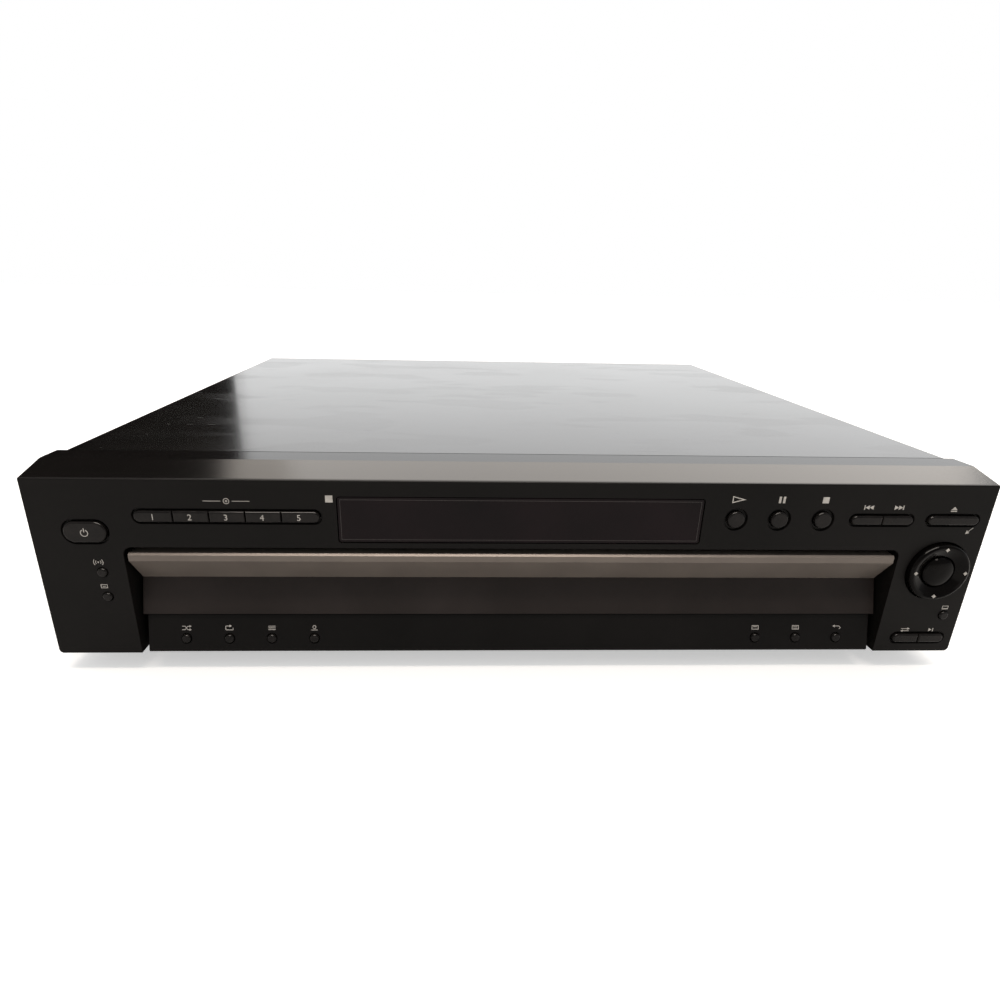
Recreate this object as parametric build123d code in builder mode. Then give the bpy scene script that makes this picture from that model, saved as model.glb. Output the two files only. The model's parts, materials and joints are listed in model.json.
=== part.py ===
"""Five-disc carousel DVD changer: case, controls, drawer, carousel and disc drive, in millimetres.

+Z is up, the front faces -Y and X runs along the front. The origin is on the shelf under the middle
of the case. Depths named d are measured back from the face of the front panel.
"""
import math
import os
from build123d import *

os.makedirs("parts", exist_ok=True)

# overall size
panel_width = 430.0
panel_bottom_z = 10.2
panel_top_z = 95.8
case_top_z = 100.0
case_depth = 395.0
ridge_d = 17.9
panel_depth = 32.0
cover_width = 423.6
face_y = -case_depth / 2
back_y = case_depth / 2
wall = 2.5
sheet = 1.0

# drawer opening and the pieces that fill it
opening_half = 177.0
opening_top_z = 64.3
opening_corner_r = 3.8
cheek_depth = 14.0
front_half = 175.3
lip_top_z = 61.2
lip_nose_z = 57.5
fascia_top_z = 45.2
fascia_bottom_z = 28.7
fascia_top_d = 10.0
fascia_bottom_d = 4.0
apron_half = 173.8
apron_top_z = 27.7
apron_bottom_z = 10.4

# carousel and tray
disc_r = 60.0
pocket_r = disc_r + 1.0
pocket_count = 5
pocket_circle_r = 106.0
carousel_r = 168.4
carousel_y = face_y + 188.0
carousel_bottom_z = 49.0
carousel_top_z = 57.0
pocket_floor_z = 52.0
small_pocket_floor_z = 51.0
small_pocket_r = 41.0
slot_half = 22.0
hub_post_r = 6.0
hub_clearance = 0.08
tray_half = 171.5
tray_front_d = 16.0
tray_back_y = carousel_y + 172.0
tray_bottom_z = 40.5
tray_floor_z = 43.0
tray_rim_z = 56.0
tray_recess_r = 169.6
drive_gap_half = 48.0
drive_gap_front_y = 62.0

# gears: one tooth form, sized by module
ring_module = 2.0
ring_teeth = 72
table_gear_teeth = 14
load_module = 1.5
pinion_teeth = 16
load_gear_teeth = 40
pulley_gear_teeth = 10
backlash = 0.4

# optical drive, tilted down at rest about its rear hinge
drive_tilt = 9.5
spindle_y = carousel_y + pocket_circle_r
hinge_y = spindle_y + 80.0
hinge_z = 40.0
disc_seat_z = 58.0
drive_plate_z = 46.5

# display window: centre z, opening width and height
window_z = 77.7
window_width = 163.6
window_height = 21.9
window_gap = 0.2

# front keys: centre x, centre z, width, height
power_key = (-191.4, 71.6, 18.6, 9.8)
disc_bar = (-129.3, 79.1, 80.2, 5.2)
disc_key_pitch = 15.6
skip_bar = (164.3, 79.1, 28.4, 4.4)
eject_key = (197.6, 79.2, 23.6, 4.4)
exchange_bar = (197.5, 17.7, 25.2, 4.6)
transport_x = (96.8, 116.7, 136.8)
transport_z = 79.0
transport_r = 3.9
cursor_x = 197.2
cursor_z = 53.7
cursor_r = 14.2
cursor_hole_r = 14.9
enter_r = 7.3
small_key_r = 2.2
column_keys = {
    "surround_button": (-187.6, 52.1),
    "picture_button": (-187.4, 39.9),
    "display_button": (207.1, 30.2),
}
apron_key_z = 16.7
apron_key_x = {
    "shuffle_button": -156.3,
    "repeat_button": -136.2,
    "program_button": -116.4,
    "load_button": -96.4,
    "title_button": 117.4,
    "menu_button": 137.5,
    "return_button": 157.8,
}
key_gap = 0.3
key_proud = 1.1
key_round = 0.9
dish_depth = 1.2
dish_rim = 1.1
key_flange = 1.0
key_flange_gap = 0.2
switch_tip_d = 7.2
key_travel_room = 0.8
board_d = 11.5
board_t = 1.6


def front(d=0.0):
    """Plane parallel to the front face at depth d, x to the right, y up."""
    return Plane.XZ.offset(-(face_y + d))


def side_section(points):
    """Closed outline in depth and height, for a section that runs along X."""
    return [(face_y + d, z) for d, z in points]


def save(part, name):
    """Label a finished piece and write it to its own file."""
    part.label = name
    export_step(part, f"parts/{name}.step")
    print(name, round(part.volume / 1000, 1), "cm3")


def bar_x(half):
    """Section plane for pieces that run along X from -half to half."""
    return Plane.YZ.offset(-half)


def gear_outline(teeth, module, centre, phase=0.0):
    """Outline of a spur gear with straight-flanked teeth; phase turns it, in degrees."""
    pitch_r = teeth * module / 2
    step = 2 * math.pi / teeth
    root = pitch_r - 1.25 * module
    tip = pitch_r + 0.9 * module
    half_pitch = step / 4 - backlash / (2 * pitch_r)
    slope = math.tan(math.radians(20)) / pitch_r
    half_tip = max(half_pitch - module * slope, 0.1 * step)
    half_root = half_pitch + 1.25 * module * slope
    points = []
    for i in range(teeth):
        mid = i * step + math.radians(phase)
        for r, a in ((root, -half_root), (tip, -half_tip), (tip, half_tip), (root, half_root)):
            points.append((centre[0] + r * math.cos(mid + a), centre[1] + r * math.sin(mid + a)))
    return points


# Front panel: one moulding with a sloped top band, open behind, cut for drawer, window and keys
with BuildPart() as front_panel:
    with BuildSketch(bar_x(panel_width / 2)):
        with BuildLine():
            Polyline(
                *side_section(
                    [
                        (0, panel_bottom_z),
                        (0, panel_top_z),
                        (ridge_d, case_top_z),
                        (panel_depth, case_top_z),
                        (panel_depth, panel_bottom_z),
                    ]
                ),
                close=True,
            )
        make_face()
    extrude(amount=panel_width)
    top_front = front_panel.edges().filter_by(Axis.X).group_by(Axis.Y)[0].sort_by(Axis.Z)[-1]
    fillet(top_front, 0.6)
    fillet(front_panel.edges().filter_by(Axis.X).sort_by(Axis.Z)[-2:], 0.5)
    fillet(front_panel.faces().sort_by(Axis.X)[0].edges().filter_by(Axis.Y).sort_by(Axis.Z)[0], 2.0)
    fillet(front_panel.faces().sort_by(Axis.X)[-1].edges().filter_by(Axis.Y).sort_by(Axis.Z)[0], 2.0)
    with BuildSketch(bar_x(panel_width / 2 - wall)):
        with BuildLine():
            Polyline(
                *side_section(
                    [
                        (wall, panel_bottom_z + wall),
                        (wall, panel_top_z - wall + 0.5),
                        (ridge_d, case_top_z - wall),
                        (panel_depth, case_top_z - wall),
                        (panel_depth, panel_bottom_z + wall),
                    ]
                ),
                close=True,
            )
        make_face()
    extrude(amount=panel_width - 2 * wall, mode=Mode.SUBTRACT)
    # the floor reaches back only under the cheeks
    with BuildSketch(Plane.XY.offset(panel_bottom_z)):
        with Locations((0, face_y + (cheek_depth + panel_depth) / 2)):
            Rectangle(panel_width - 2 * wall, panel_depth - cheek_depth)
    extrude(amount=wall, mode=Mode.SUBTRACT)
    # cheeks and soffit around the drawer opening
    frame_half = opening_half + wall
    frame_top = opening_top_z + wall
    frame_mid = (panel_bottom_z + frame_top) / 2
    with BuildSketch(front()):
        with Locations((0, frame_mid)):
            Rectangle(2 * frame_half, frame_top - panel_bottom_z)
    extrude(amount=-cheek_depth)
    with BuildSketch(front(-1)):
        with Locations((0, (opening_top_z + panel_bottom_z - 10) / 2)):
            RectangleRounded(2 * opening_half, opening_top_z - panel_bottom_z + 10, opening_corner_r)
    extrude(amount=-panel_depth - 2, mode=Mode.SUBTRACT)
    # display window
    with BuildSketch(front(-1)):
        with Locations((0, window_z)):
            RectangleRounded(window_width, window_height, 1.5)
    extrude(amount=-5, mode=Mode.SUBTRACT)
    # dished recesses round the wide keys and the transport keys
    with BuildSketch(front()):
        for x, z, w, h in (power_key, disc_bar, skip_bar, eject_key, exchange_bar):
            with Locations((x, z)):
                SlotOverall(w + 2 * dish_rim, h + 2 * dish_rim)
        with Locations(*[(x, transport_z) for x in transport_x]):
            Circle(transport_r + dish_rim + 0.4)
    extrude(amount=-dish_depth, taper=20, mode=Mode.SUBTRACT)
    with BuildSketch(front(-1)):
        for x, z, w, h in (power_key, disc_bar, skip_bar, eject_key, exchange_bar):
            with Locations((x, z)):
                SlotOverall(w + 2 * key_gap, h + 2 * key_gap)
        with Locations(*[(x, transport_z) for x in transport_x]):
            Circle(transport_r + key_gap)
        with Locations(*column_keys.values()):
            Circle(small_key_r + key_gap)
        with Locations((cursor_x, cursor_z)):
            Circle(cursor_hole_r)
    extrude(amount=-5, mode=Mode.SUBTRACT)
save(front_panel.part, "front_panel")

# Window: smoked acrylic with a flange glued behind the panel
with BuildPart() as display_window:
    with BuildSketch(front(0.3)):
        with Locations((0, window_z)):
            RectangleRounded(window_width - 2 * window_gap, window_height - 2 * window_gap, 1.3)
    extrude(amount=-3.2)
    chamfer(display_window.faces().sort_by(Axis.Y)[0].edges(), 0.3)
    # tabs glued behind the panel at both ends
    with BuildSketch(front(wall)):
        with Locations((0, window_z)):
            Rectangle(171.0, 15.0)
    extrude(amount=-1.0)
save(display_window.part, "display_window")

# Display: flat glass tube in a holder that clips to the key board
with BuildPart() as display_module:
    with BuildSketch(front(4.6)):
        with Locations((0, window_z)):
            Rectangle(152, 19)
    extrude(amount=-4.4)
    with BuildSketch(front(9.0)):
        with Locations((0, window_z)):
            Rectangle(158, 21)
    extrude(amount=-(board_d - 9.0))
save(display_module.part, "display_module")

# Lower panel: fixed strip under the drawer front, raked back towards its top
apron_nose_d = 0.3
apron_front_d = 5.3
apron_back_d = 15.8
with BuildPart() as lower_panel:
    with BuildSketch(bar_x(apron_half)):
        with BuildLine():
            Polyline(
                *side_section(
                    [
                        (0.8, apron_bottom_z),
                        (apron_nose_d, apron_bottom_z + 0.8),
                        (apron_front_d, apron_top_z),
                        (apron_back_d, apron_top_z),
                        (apron_back_d, apron_bottom_z),
                    ]
                ),
                close=True,
            )
        make_face()
    extrude(amount=2 * apron_half)
    with BuildSketch(bar_x(apron_half - wall)):
        with BuildLine():
            Polyline(
                *side_section(
                    [
                        (2.8, apron_bottom_z + 2.0),
                        (7.6, apron_top_z - 2.0),
                        (apron_back_d, apron_top_z - 2.0),
                        (apron_back_d, apron_bottom_z + 2.0),
                    ]
                ),
                close=True,
            )
        make_face()
    extrude(amount=2 * (apron_half - wall), mode=Mode.SUBTRACT)
    # ears that close the slots beside the strip
    with BuildSketch(front(cheek_depth)):
        for side in (-1, 1):
            with Locations((side * (apron_half + 0.5), (apron_bottom_z + apron_top_z) / 2)):
                Rectangle(2 * (opening_half - apron_half) - 0.2, apron_top_z - apron_bottom_z)
    extrude(amount=-(apron_back_d - cheek_depth))
    with BuildSketch(front(-1)):
        with Locations(*[(x, apron_key_z) for x in apron_key_x.values()]):
            Circle(small_key_r + key_gap)
    extrude(amount=-7, mode=Mode.SUBTRACT)
save(lower_panel.part, "lower_panel")


# Keys: a filleted cap, a flange behind the panel and a stem that reaches the switch
def round_key(name, x, z, radius, proud, face_d=0.0, rake_room=0.0):
    """Round key whose flange clears the panel; rake_room is what a raked panel adds."""
    flange_d = face_d + wall + key_flange_gap + rake_room
    with BuildPart() as key:
        with BuildSketch(front(face_d - proud)):
            with Locations((x, z)):
                Circle(radius)
        extrude(amount=-(flange_d - face_d + proud))
        fillet(key.faces().sort_by(Axis.Y)[0].edges(), key_round)
        with BuildSketch(front(flange_d)):
            with Locations((x, z)):
                Circle(radius + 0.9)
        extrude(amount=-key_flange)
        with BuildSketch(front(flange_d + key_flange)):
            with Locations((x, z)):
                Circle(1.5)
        extrude(amount=-(switch_tip_d + face_d - key_travel_room - flange_d - key_flange))
    save(key.part, name)


def slot_keys(names, bar, pitch):
    """Keys of one stadium-shaped bar, divided at the pitch, each with its own flange and stem."""
    x0, z0, width, height = bar
    flange_d = wall + key_flange_gap
    half_gap = key_gap / 2
    for i, name in enumerate(names):
        left = -width / 2 if i == 0 else (i - len(names) / 2) * pitch + half_gap
        right = width / 2 if i == len(names) - 1 else (i + 1 - len(names) / 2) * pitch - half_gap
        middle = (left + right) / 2
        with BuildPart() as key:
            with BuildSketch(front(-key_proud)):
                with Locations((x0, z0)):
                    SlotOverall(width, height)
                with Locations((x0 + middle, z0)):
                    Rectangle(right - left, 2 * height, mode=Mode.INTERSECT)
            extrude(amount=-(flange_d + key_proud))
            fillet(key.faces().sort_by(Axis.Y)[0].edges(), key_round)
            with BuildSketch(front(flange_d)):
                with Locations((x0 + middle, z0)):
                    Rectangle(right - left, height + 2.0)
            extrude(amount=-key_flange)
            with BuildSketch(front(flange_d + key_flange)):
                with Locations((x0 + middle, z0)):
                    Circle(1.5)
            extrude(amount=-(switch_tip_d - key_travel_room - flange_d - key_flange))
        save(key.part, name)


slot_keys(["power_button"], power_key, power_key[2])
slot_keys([f"disc_key_{i + 1}" for i in range(5)], disc_bar, disc_key_pitch)
slot_keys(["previous_button", "next_button"], skip_bar, skip_bar[2] / 2)
slot_keys(["open_close_button"], eject_key, eject_key[2])
slot_keys(["exchange_button", "disc_skip_button"], exchange_bar, exchange_bar[2] / 2)
for name, x in zip(("play_button", "pause_button", "stop_button"), transport_x):
    round_key(name, x, transport_z, transport_r, 1.0)
for name, (x, z) in column_keys.items():
    round_key(name, x, z, small_key_r, key_proud)

# depth of the raked lower panel at the height of its keys
apron_rake = (apron_front_d - apron_nose_d) / (apron_top_z - apron_bottom_z - 0.8)
apron_key_d = apron_nose_d + apron_rake * (apron_key_z - apron_bottom_z - 0.8)
for name, x in apron_key_x.items():
    round_key(name, x, apron_key_z, small_key_r, key_proud, face_d=apron_key_d, rake_room=1.2)

# Cursor ring: turned form with a sloping inner face, and four feet that press the switches
cursor_plane = Plane(origin=(cursor_x, face_y, cursor_z), x_dir=(0, 1, 0), z_dir=(1, 0, 0))
ring_gimbal_d = 5.4
with BuildPart() as cursor_ring:
    with BuildSketch(cursor_plane):
        with BuildLine():
            Polyline((3.6, 8.0), (-1.0, 8.0), (-2.7, 11.6), (-3.0, 12.6))
            ThreePointArc((-3.0, 12.6), (-2.5, 13.8), (-1.4, cursor_r))
            Polyline((-1.4, cursor_r), (3.6, cursor_r), (3.6, 8.0))
        make_face()
    revolve(axis=Axis((cursor_x, face_y, cursor_z), (0, 1, 0)))
    with BuildSketch(front(3.6)):
        with Locations((cursor_x, cursor_z)):
            with PolarLocations(11.2, 4, start_angle=45):
                Circle(0.9)
    extrude(amount=-1.2)
save(cursor_ring.part, "cursor_ring")

with BuildPart() as cursor_gimbal:
    with BuildSketch(front(ring_gimbal_d)):
        with Locations((cursor_x, cursor_z)):
            Circle(13.0)
            Circle(9.0, mode=Mode.SUBTRACT)
    extrude(amount=-1.0)
save(cursor_gimbal.part, "cursor_gimbal")

with BuildPart() as enter_button:
    with BuildSketch(cursor_plane):
        with BuildLine():
            Polyline((6.2, 0), (-2.6, 0))
            ThreePointArc((-2.6, 0), (-2.4, 4.0), (-1.7, 6.8))
            Polyline((-1.7, 6.8), (-1.2, enter_r), (3.0, enter_r), (3.0, 2.0), (6.2, 2.0), (6.2, 0))
        make_face()
    revolve(axis=Axis((cursor_x, face_y, cursor_z), (0, 1, 0)))
save(enter_button.part, "enter_button")

# Key boards: one with a leg down each column, one behind the lower panel, with their tact switches
board_top_z = 93.0
board_low_z = 66.9
column_inner = 180.6
column_outer = 211.6
upper_switches = [(x, z) for x, z, w, h in (power_key, eject_key)]
upper_switches += [(x, transport_z) for x in transport_x]
upper_switches += [(disc_bar[0] + (i - 2) * disc_key_pitch, disc_bar[1]) for i in range(5)]
upper_switches += [(skip_bar[0] + side * skip_bar[2] / 4, skip_bar[1]) for side in (-1, 1)]
upper_switches += [(exchange_bar[0] + side * exchange_bar[2] / 4, exchange_bar[1]) for side in (-1, 1)]
upper_switches += list(column_keys.values())
upper_switches += [(cursor_x, cursor_z)]
with BuildPart() as key_board:
    with BuildSketch(front(board_d)):
        with Locations((0, (board_top_z + board_low_z) / 2)):
            Rectangle(2 * column_outer, board_top_z - board_low_z)
        for side in (-1, 1):
            with Locations((side * (column_inner + column_outer) / 2, (board_top_z + 13.5) / 2)):
                Rectangle(column_outer - column_inner, board_top_z - 13.5)
    extrude(amount=-board_t)
    with BuildSketch(front(switch_tip_d + 1.0)):
        with Locations(*upper_switches):
            Rectangle(5.0, 4.6)
    extrude(amount=-(board_d - switch_tip_d - 1.0))
    with BuildSketch(front(switch_tip_d)):
        with Locations(*upper_switches):
            Circle(1.3)
    extrude(amount=-1.0)
    # board behind the lower panel
    with BuildSketch(front(apron_key_d + board_d)):
        with Locations((0, apron_key_z + 0.6)):
            Rectangle(336, 9.0)
    extrude(amount=-board_t)
    with BuildSketch(front(apron_key_d + switch_tip_d + 1.0)):
        with Locations(*[(x, apron_key_z) for x in apron_key_x.values()]):
            Rectangle(5.0, 4.6)
    extrude(amount=-(board_d - switch_tip_d - 1.0))
    with BuildSketch(front(apron_key_d + switch_tip_d)):
        with Locations(*[(x, apron_key_z) for x in apron_key_x.values()]):
            Circle(1.3)
    extrude(amount=-1.0)
save(key_board.part, "key_board")

# Drawer front: silver lip with an undercut band, over a raked dark fascia
with BuildPart() as drawer_lip:
    with BuildSketch(bar_x(front_half)):
        with BuildLine():
            Polyline(
                *side_section(
                    [
                        (0.2, lip_nose_z),
                        (0.2, lip_top_z - 0.9),
                        (1.1, lip_top_z),
                        (cheek_depth, lip_top_z),
                        (cheek_depth, lip_top_z - 2.0),
                        (3.0, lip_top_z - 2.0),
                        (2.9, lip_nose_z + 0.4),
                        (fascia_top_d + 2.0, fascia_top_z + 1.2),
                        (fascia_top_d, fascia_top_z),
                    ]
                ),
                close=True,
            )
        make_face()
    extrude(amount=2 * front_half)
save(drawer_lip.part, "drawer_lip")

with BuildPart() as drawer_fascia:
    with BuildSketch(bar_x(front_half)):
        with BuildLine():
            Polyline(
                *side_section(
                    [
                        (fascia_bottom_d, fascia_bottom_z),
                        (fascia_top_d, fascia_top_z - 0.05),
                        (tray_front_d, fascia_top_z + 3.6),
                        (tray_front_d, fascia_bottom_z),
                    ]
                ),
                close=True,
            )
        make_face()
    extrude(amount=2 * front_half)
    with BuildSketch(bar_x(front_half - 2.0)):
        with BuildLine():
            Polyline(
                *side_section(
                    [
                        (fascia_bottom_d + 2.9, fascia_bottom_z + 2.0),
                        (fascia_top_d + 2.2, fascia_top_z - 0.4),
                        (tray_front_d, fascia_top_z + 1.6),
                        (tray_front_d, fascia_bottom_z + 2.0),
                    ]
                ),
                close=True,
            )
        make_face()
    extrude(amount=2 * (front_half - 2.0), mode=Mode.SUBTRACT)
save(drawer_fascia.part, "drawer_fascia")

# Drawer tray: walled plate with a round recess, runners, a rack below and a gap for the drive
tray_front_y = face_y + tray_front_d
tray_length = tray_back_y - tray_front_y
tray_mid_y = (tray_back_y + tray_front_y) / 2
rack_x = -120.0
rack_top_z = tray_bottom_z
rack_bottom_z = 35.5
rack_pitch = math.pi * load_module
rack_teeth = 54
pinion_y = face_y + 50.0
pinion_x = rack_x + pinion_teeth * load_module / 2
gap_length = tray_back_y - drive_gap_front_y
ring_pitch_r = ring_module * ring_teeth / 2
table_gear_r = ring_module * table_gear_teeth / 2
table_gear_angle = 325.0
gear_reach = ring_pitch_r + table_gear_r
table_gear_x = gear_reach * math.cos(math.radians(table_gear_angle))
table_gear_y = carousel_y + gear_reach * math.sin(math.radians(table_gear_angle))
with BuildPart() as drawer_tray:
    with BuildSketch(Plane.XY.offset(tray_bottom_z)):
        with Locations((0, tray_mid_y)):
            Rectangle(2 * tray_half, tray_length)
    extrude(amount=tray_rim_z - tray_bottom_z)
    with BuildSketch(Plane.XY.offset(tray_floor_z)):
        with Locations((0, carousel_y)):
            Circle(tray_recess_r)
    extrude(amount=tray_rim_z, mode=Mode.SUBTRACT)
    # hollow corners, open below
    with BuildSketch(Plane.XY.offset(tray_bottom_z)) as corners:
        with Locations((0, tray_mid_y)):
            Rectangle(2 * tray_half - 4.0, tray_length - 4.0)
        with Locations((0, carousel_y)):
            Circle(tray_recess_r + 2.0, mode=Mode.SUBTRACT)
    extrude(amount=tray_rim_z - tray_bottom_z - 2.0, mode=Mode.SUBTRACT)
    # slide ring under the table, hub post
    with BuildSketch(Plane.XY.offset(tray_floor_z)):
        with Locations((0, carousel_y)):
            Circle(160)
            Circle(157, mode=Mode.SUBTRACT)
    extrude(amount=carousel_bottom_z - tray_floor_z - 0.3)
    with BuildSketch(Plane.XY.offset(tray_floor_z)):
        with Locations((0, carousel_y)):
            Circle(14)
    extrude(amount=carousel_bottom_z - tray_floor_z - 0.3)
    with BuildSketch(Plane.XY.offset(tray_floor_z)):
        with Locations((0, carousel_y)):
            Circle(hub_post_r)
    extrude(amount=carousel_top_z - tray_floor_z + 1.0)
    # front upstand behind the fascia and the lip
    with BuildSketch(Plane.XY.offset(fascia_bottom_z + 2.5)):
        with Locations((0, tray_front_y + 1.0)):
            Rectangle(2 * tray_half, 2.0)
    extrude(amount=lip_top_z - 2.0 - fascia_bottom_z - 2.5)
    # side runners
    with BuildSketch(Plane.XY.offset(tray_bottom_z)):
        for side in (-1, 1):
            with Locations((side * (tray_half + 1.2), tray_mid_y)):
                Rectangle(2.6, tray_length)
    extrude(amount=3.0)
    # gap over the drive, open at the back
    with BuildSketch(Plane.XY.offset(tray_bottom_z - 1)):
        with Locations((0, drive_gap_front_y + gap_length / 2 + 1)):
            Rectangle(2 * drive_gap_half, gap_length + 2)
    extrude(amount=tray_rim_z, mode=Mode.SUBTRACT)
    # hole for the shaft of the table motor
    with BuildSketch(Plane.XY.offset(tray_bottom_z - 1)):
        with Locations((table_gear_x, table_gear_y)):
            Circle(3)
    extrude(amount=6, mode=Mode.SUBTRACT)
    # rack
    rack_y = pinion_y - 1.5 * rack_pitch
    with BuildSketch(Plane.XY.offset(rack_bottom_z)):
        with BuildLine():
            tooth = []
            for i in range(rack_teeth):
                y = rack_y + i * rack_pitch
                flat = rack_pitch / 4 - backlash / 2
                lean = load_module * math.tan(math.radians(20))
                tooth += [
                    (rack_x - 1.25 * load_module, y - flat - 1.25 * lean),
                    (rack_x + load_module, y - flat + lean),
                    (rack_x + load_module, y + flat - lean),
                    (rack_x - 1.25 * load_module, y + flat + 1.25 * lean),
                ]
            back_x = rack_x - 1.25 * load_module - 4.0
            Polyline(*tooth, (back_x, tooth[-1][1]), (back_x, tooth[0][1]), close=True)
        make_face()
    extrude(amount=rack_top_z - rack_bottom_z)
save(drawer_tray.part, "drawer_tray")

# Carousel: five pockets with a smaller step for small discs, each open at the rim for the pickup
ring_z = 44.0
with BuildPart() as carousel:
    with BuildSketch(Plane.XY.offset(carousel_bottom_z)):
        with Locations((0, carousel_y)):
            Circle(carousel_r)
    extrude(amount=carousel_top_z - carousel_bottom_z)
    fillet(carousel.faces().sort_by(Axis.Z)[-1].edges(), 0.8)
    with BuildSketch(Plane.XY.offset(pocket_floor_z)):
        with Locations((0, carousel_y)):
            with PolarLocations(pocket_circle_r, pocket_count, start_angle=90):
                Circle(pocket_r)
    extrude(amount=10, mode=Mode.SUBTRACT)
    with BuildSketch(Plane.XY.offset(small_pocket_floor_z)):
        with Locations((0, carousel_y)):
            with PolarLocations(pocket_circle_r, pocket_count, start_angle=90):
                Circle(small_pocket_r)
    extrude(amount=10, mode=Mode.SUBTRACT)
    # spindle hole running out to the rim
    with BuildSketch(Plane.XY.offset(carousel_bottom_z - 1)):
        with Locations((0, carousel_y)):
            with PolarLocations(pocket_circle_r, pocket_count, start_angle=90):
                Circle(slot_half)
            with PolarLocations(pocket_circle_r + 35, pocket_count, start_angle=90):
                Rectangle(70, 2 * slot_half)
    extrude(amount=20, mode=Mode.SUBTRACT)
    # coring from below, between pockets and hub
    with BuildSketch(Plane.XY.offset(ring_z)):
        with Locations((0, carousel_y)):
            Circle(ring_pitch_r - 1.25 * ring_module + 0.1)
            Circle(ring_pitch_r - 1.25 * ring_module - 3.0, mode=Mode.SUBTRACT)
    extrude(amount=carousel_bottom_z - ring_z)
    with BuildSketch(Plane.XY.offset(ring_z)):
        with Locations((0, carousel_y)):
            with BuildLine():
                Polyline(*gear_outline(ring_teeth, ring_module, (0, carousel_y)), close=True)
            make_face()
            Circle(ring_pitch_r - 1.25 * ring_module - 3.0, mode=Mode.SUBTRACT)
    extrude(amount=carousel_bottom_z - ring_z)
    with BuildSketch(Plane.XY.offset(carousel_bottom_z - 1)):
        with Locations((0, carousel_y)):
            Circle(hub_post_r + hub_clearance)
    extrude(amount=20, mode=Mode.SUBTRACT)
save(carousel.part, "carousel")

with BuildPart() as carousel_cap:
    with BuildSketch(Plane.XY.offset(carousel_top_z + 1.05)):
        with Locations((0, carousel_y)):
            Circle(17)
    extrude(amount=2.2)
    fillet(carousel_cap.faces().sort_by(Axis.Z)[-1].edges(), 1.2)
save(carousel_cap.part, "carousel_cap")

# Table drive on the tray: motor with its gear on the shaft, meshing with the ring under the table
tooth_step = 360.0 / table_gear_teeth
ring_step = 360.0 / ring_teeth
ring_phase = (table_gear_angle / ring_step) % 1.0
table_phase = table_gear_angle + 180.0 + tooth_step * (0.5 + ring_phase)
table_gear_line = gear_outline(table_gear_teeth, ring_module, (table_gear_x, table_gear_y), table_phase)
with BuildPart() as table_gear:
    with BuildSketch(Plane.XY.offset(ring_z)):
        with Locations((table_gear_x, table_gear_y)):
            with BuildLine():
                Polyline(*table_gear_line, close=True)
            make_face()
            Circle(2.05, mode=Mode.SUBTRACT)
    extrude(amount=carousel_bottom_z - ring_z - 0.6)
save(table_gear.part, "table_gear")

with BuildPart() as table_motor:
    with BuildSketch(Plane.XY.offset(29.5)):
        with Locations((table_gear_x, table_gear_y)):
            Circle(12)
    extrude(amount=7.0)
    fillet(table_motor.faces().sort_by(Axis.Z)[0].edges(), 1.5)
    with BuildSketch(Plane.XY.offset(36.5)):
        with Locations((table_gear_x, table_gear_y)):
            Rectangle(34, 26)
    extrude(amount=tray_bottom_z - 36.5)
    with BuildSketch(Plane.XY.offset(tray_bottom_z)):
        with Locations((table_gear_x, table_gear_y)):
            Circle(2.0)
    extrude(amount=ring_z + 3.5 - tray_bottom_z)
save(table_motor.part, "table_motor")

# Loading train on the deck: motor, belt, pulley gear and drawer gear with its pinion in the rack
load_gear_r = load_gear_teeth * load_module / 2
pulley_gear_r = pulley_gear_teeth * load_module / 2
pulley_gear_x = pinion_x + (load_gear_r + pulley_gear_r)
pulley_gear_y = pinion_y
pulley_phase = 180.0 + 180.0 / pulley_gear_teeth
motor_x = pulley_gear_x + 40.0
motor_y = pulley_gear_y + 6.0
gear_z = 20.0
gear_width = 4.0
shaft_r = 2.0
shaft_gap = 0.06
pulley_z = 25.0
pulley_r = 19.0
motor_pulley_r = 4.0
belt_t = 1.2
deck_z = 15.0
deck_top_z = 17.5
with BuildPart() as drawer_gear:
    with BuildSketch(Plane.XY.offset(gear_z)):
        with Locations((pinion_x, pinion_y)):
            with BuildLine():
                Polyline(*gear_outline(load_gear_teeth, load_module, (pinion_x, pinion_y)), close=True)
            make_face()
    extrude(amount=gear_width)
    with BuildSketch(Plane.XY.offset(gear_z + gear_width)):
        with Locations((pinion_x, pinion_y)):
            Circle(8.5)
    extrude(amount=rack_bottom_z + 0.3 - gear_z - gear_width)
    with BuildSketch(Plane.XY.offset(rack_bottom_z + 0.3)):
        with Locations((pinion_x, pinion_y)):
            with BuildLine():
                Polyline(*gear_outline(pinion_teeth, load_module, (pinion_x, pinion_y), 180.0), close=True)
            make_face()
    extrude(amount=rack_top_z - rack_bottom_z - 0.9)
    with BuildSketch(Plane.XY.offset(gear_z - 1)):
        with Locations((pinion_x, pinion_y)):
            Circle(shaft_r + shaft_gap)
    extrude(amount=30, mode=Mode.SUBTRACT)
save(drawer_gear.part, "drawer_gear")

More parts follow.
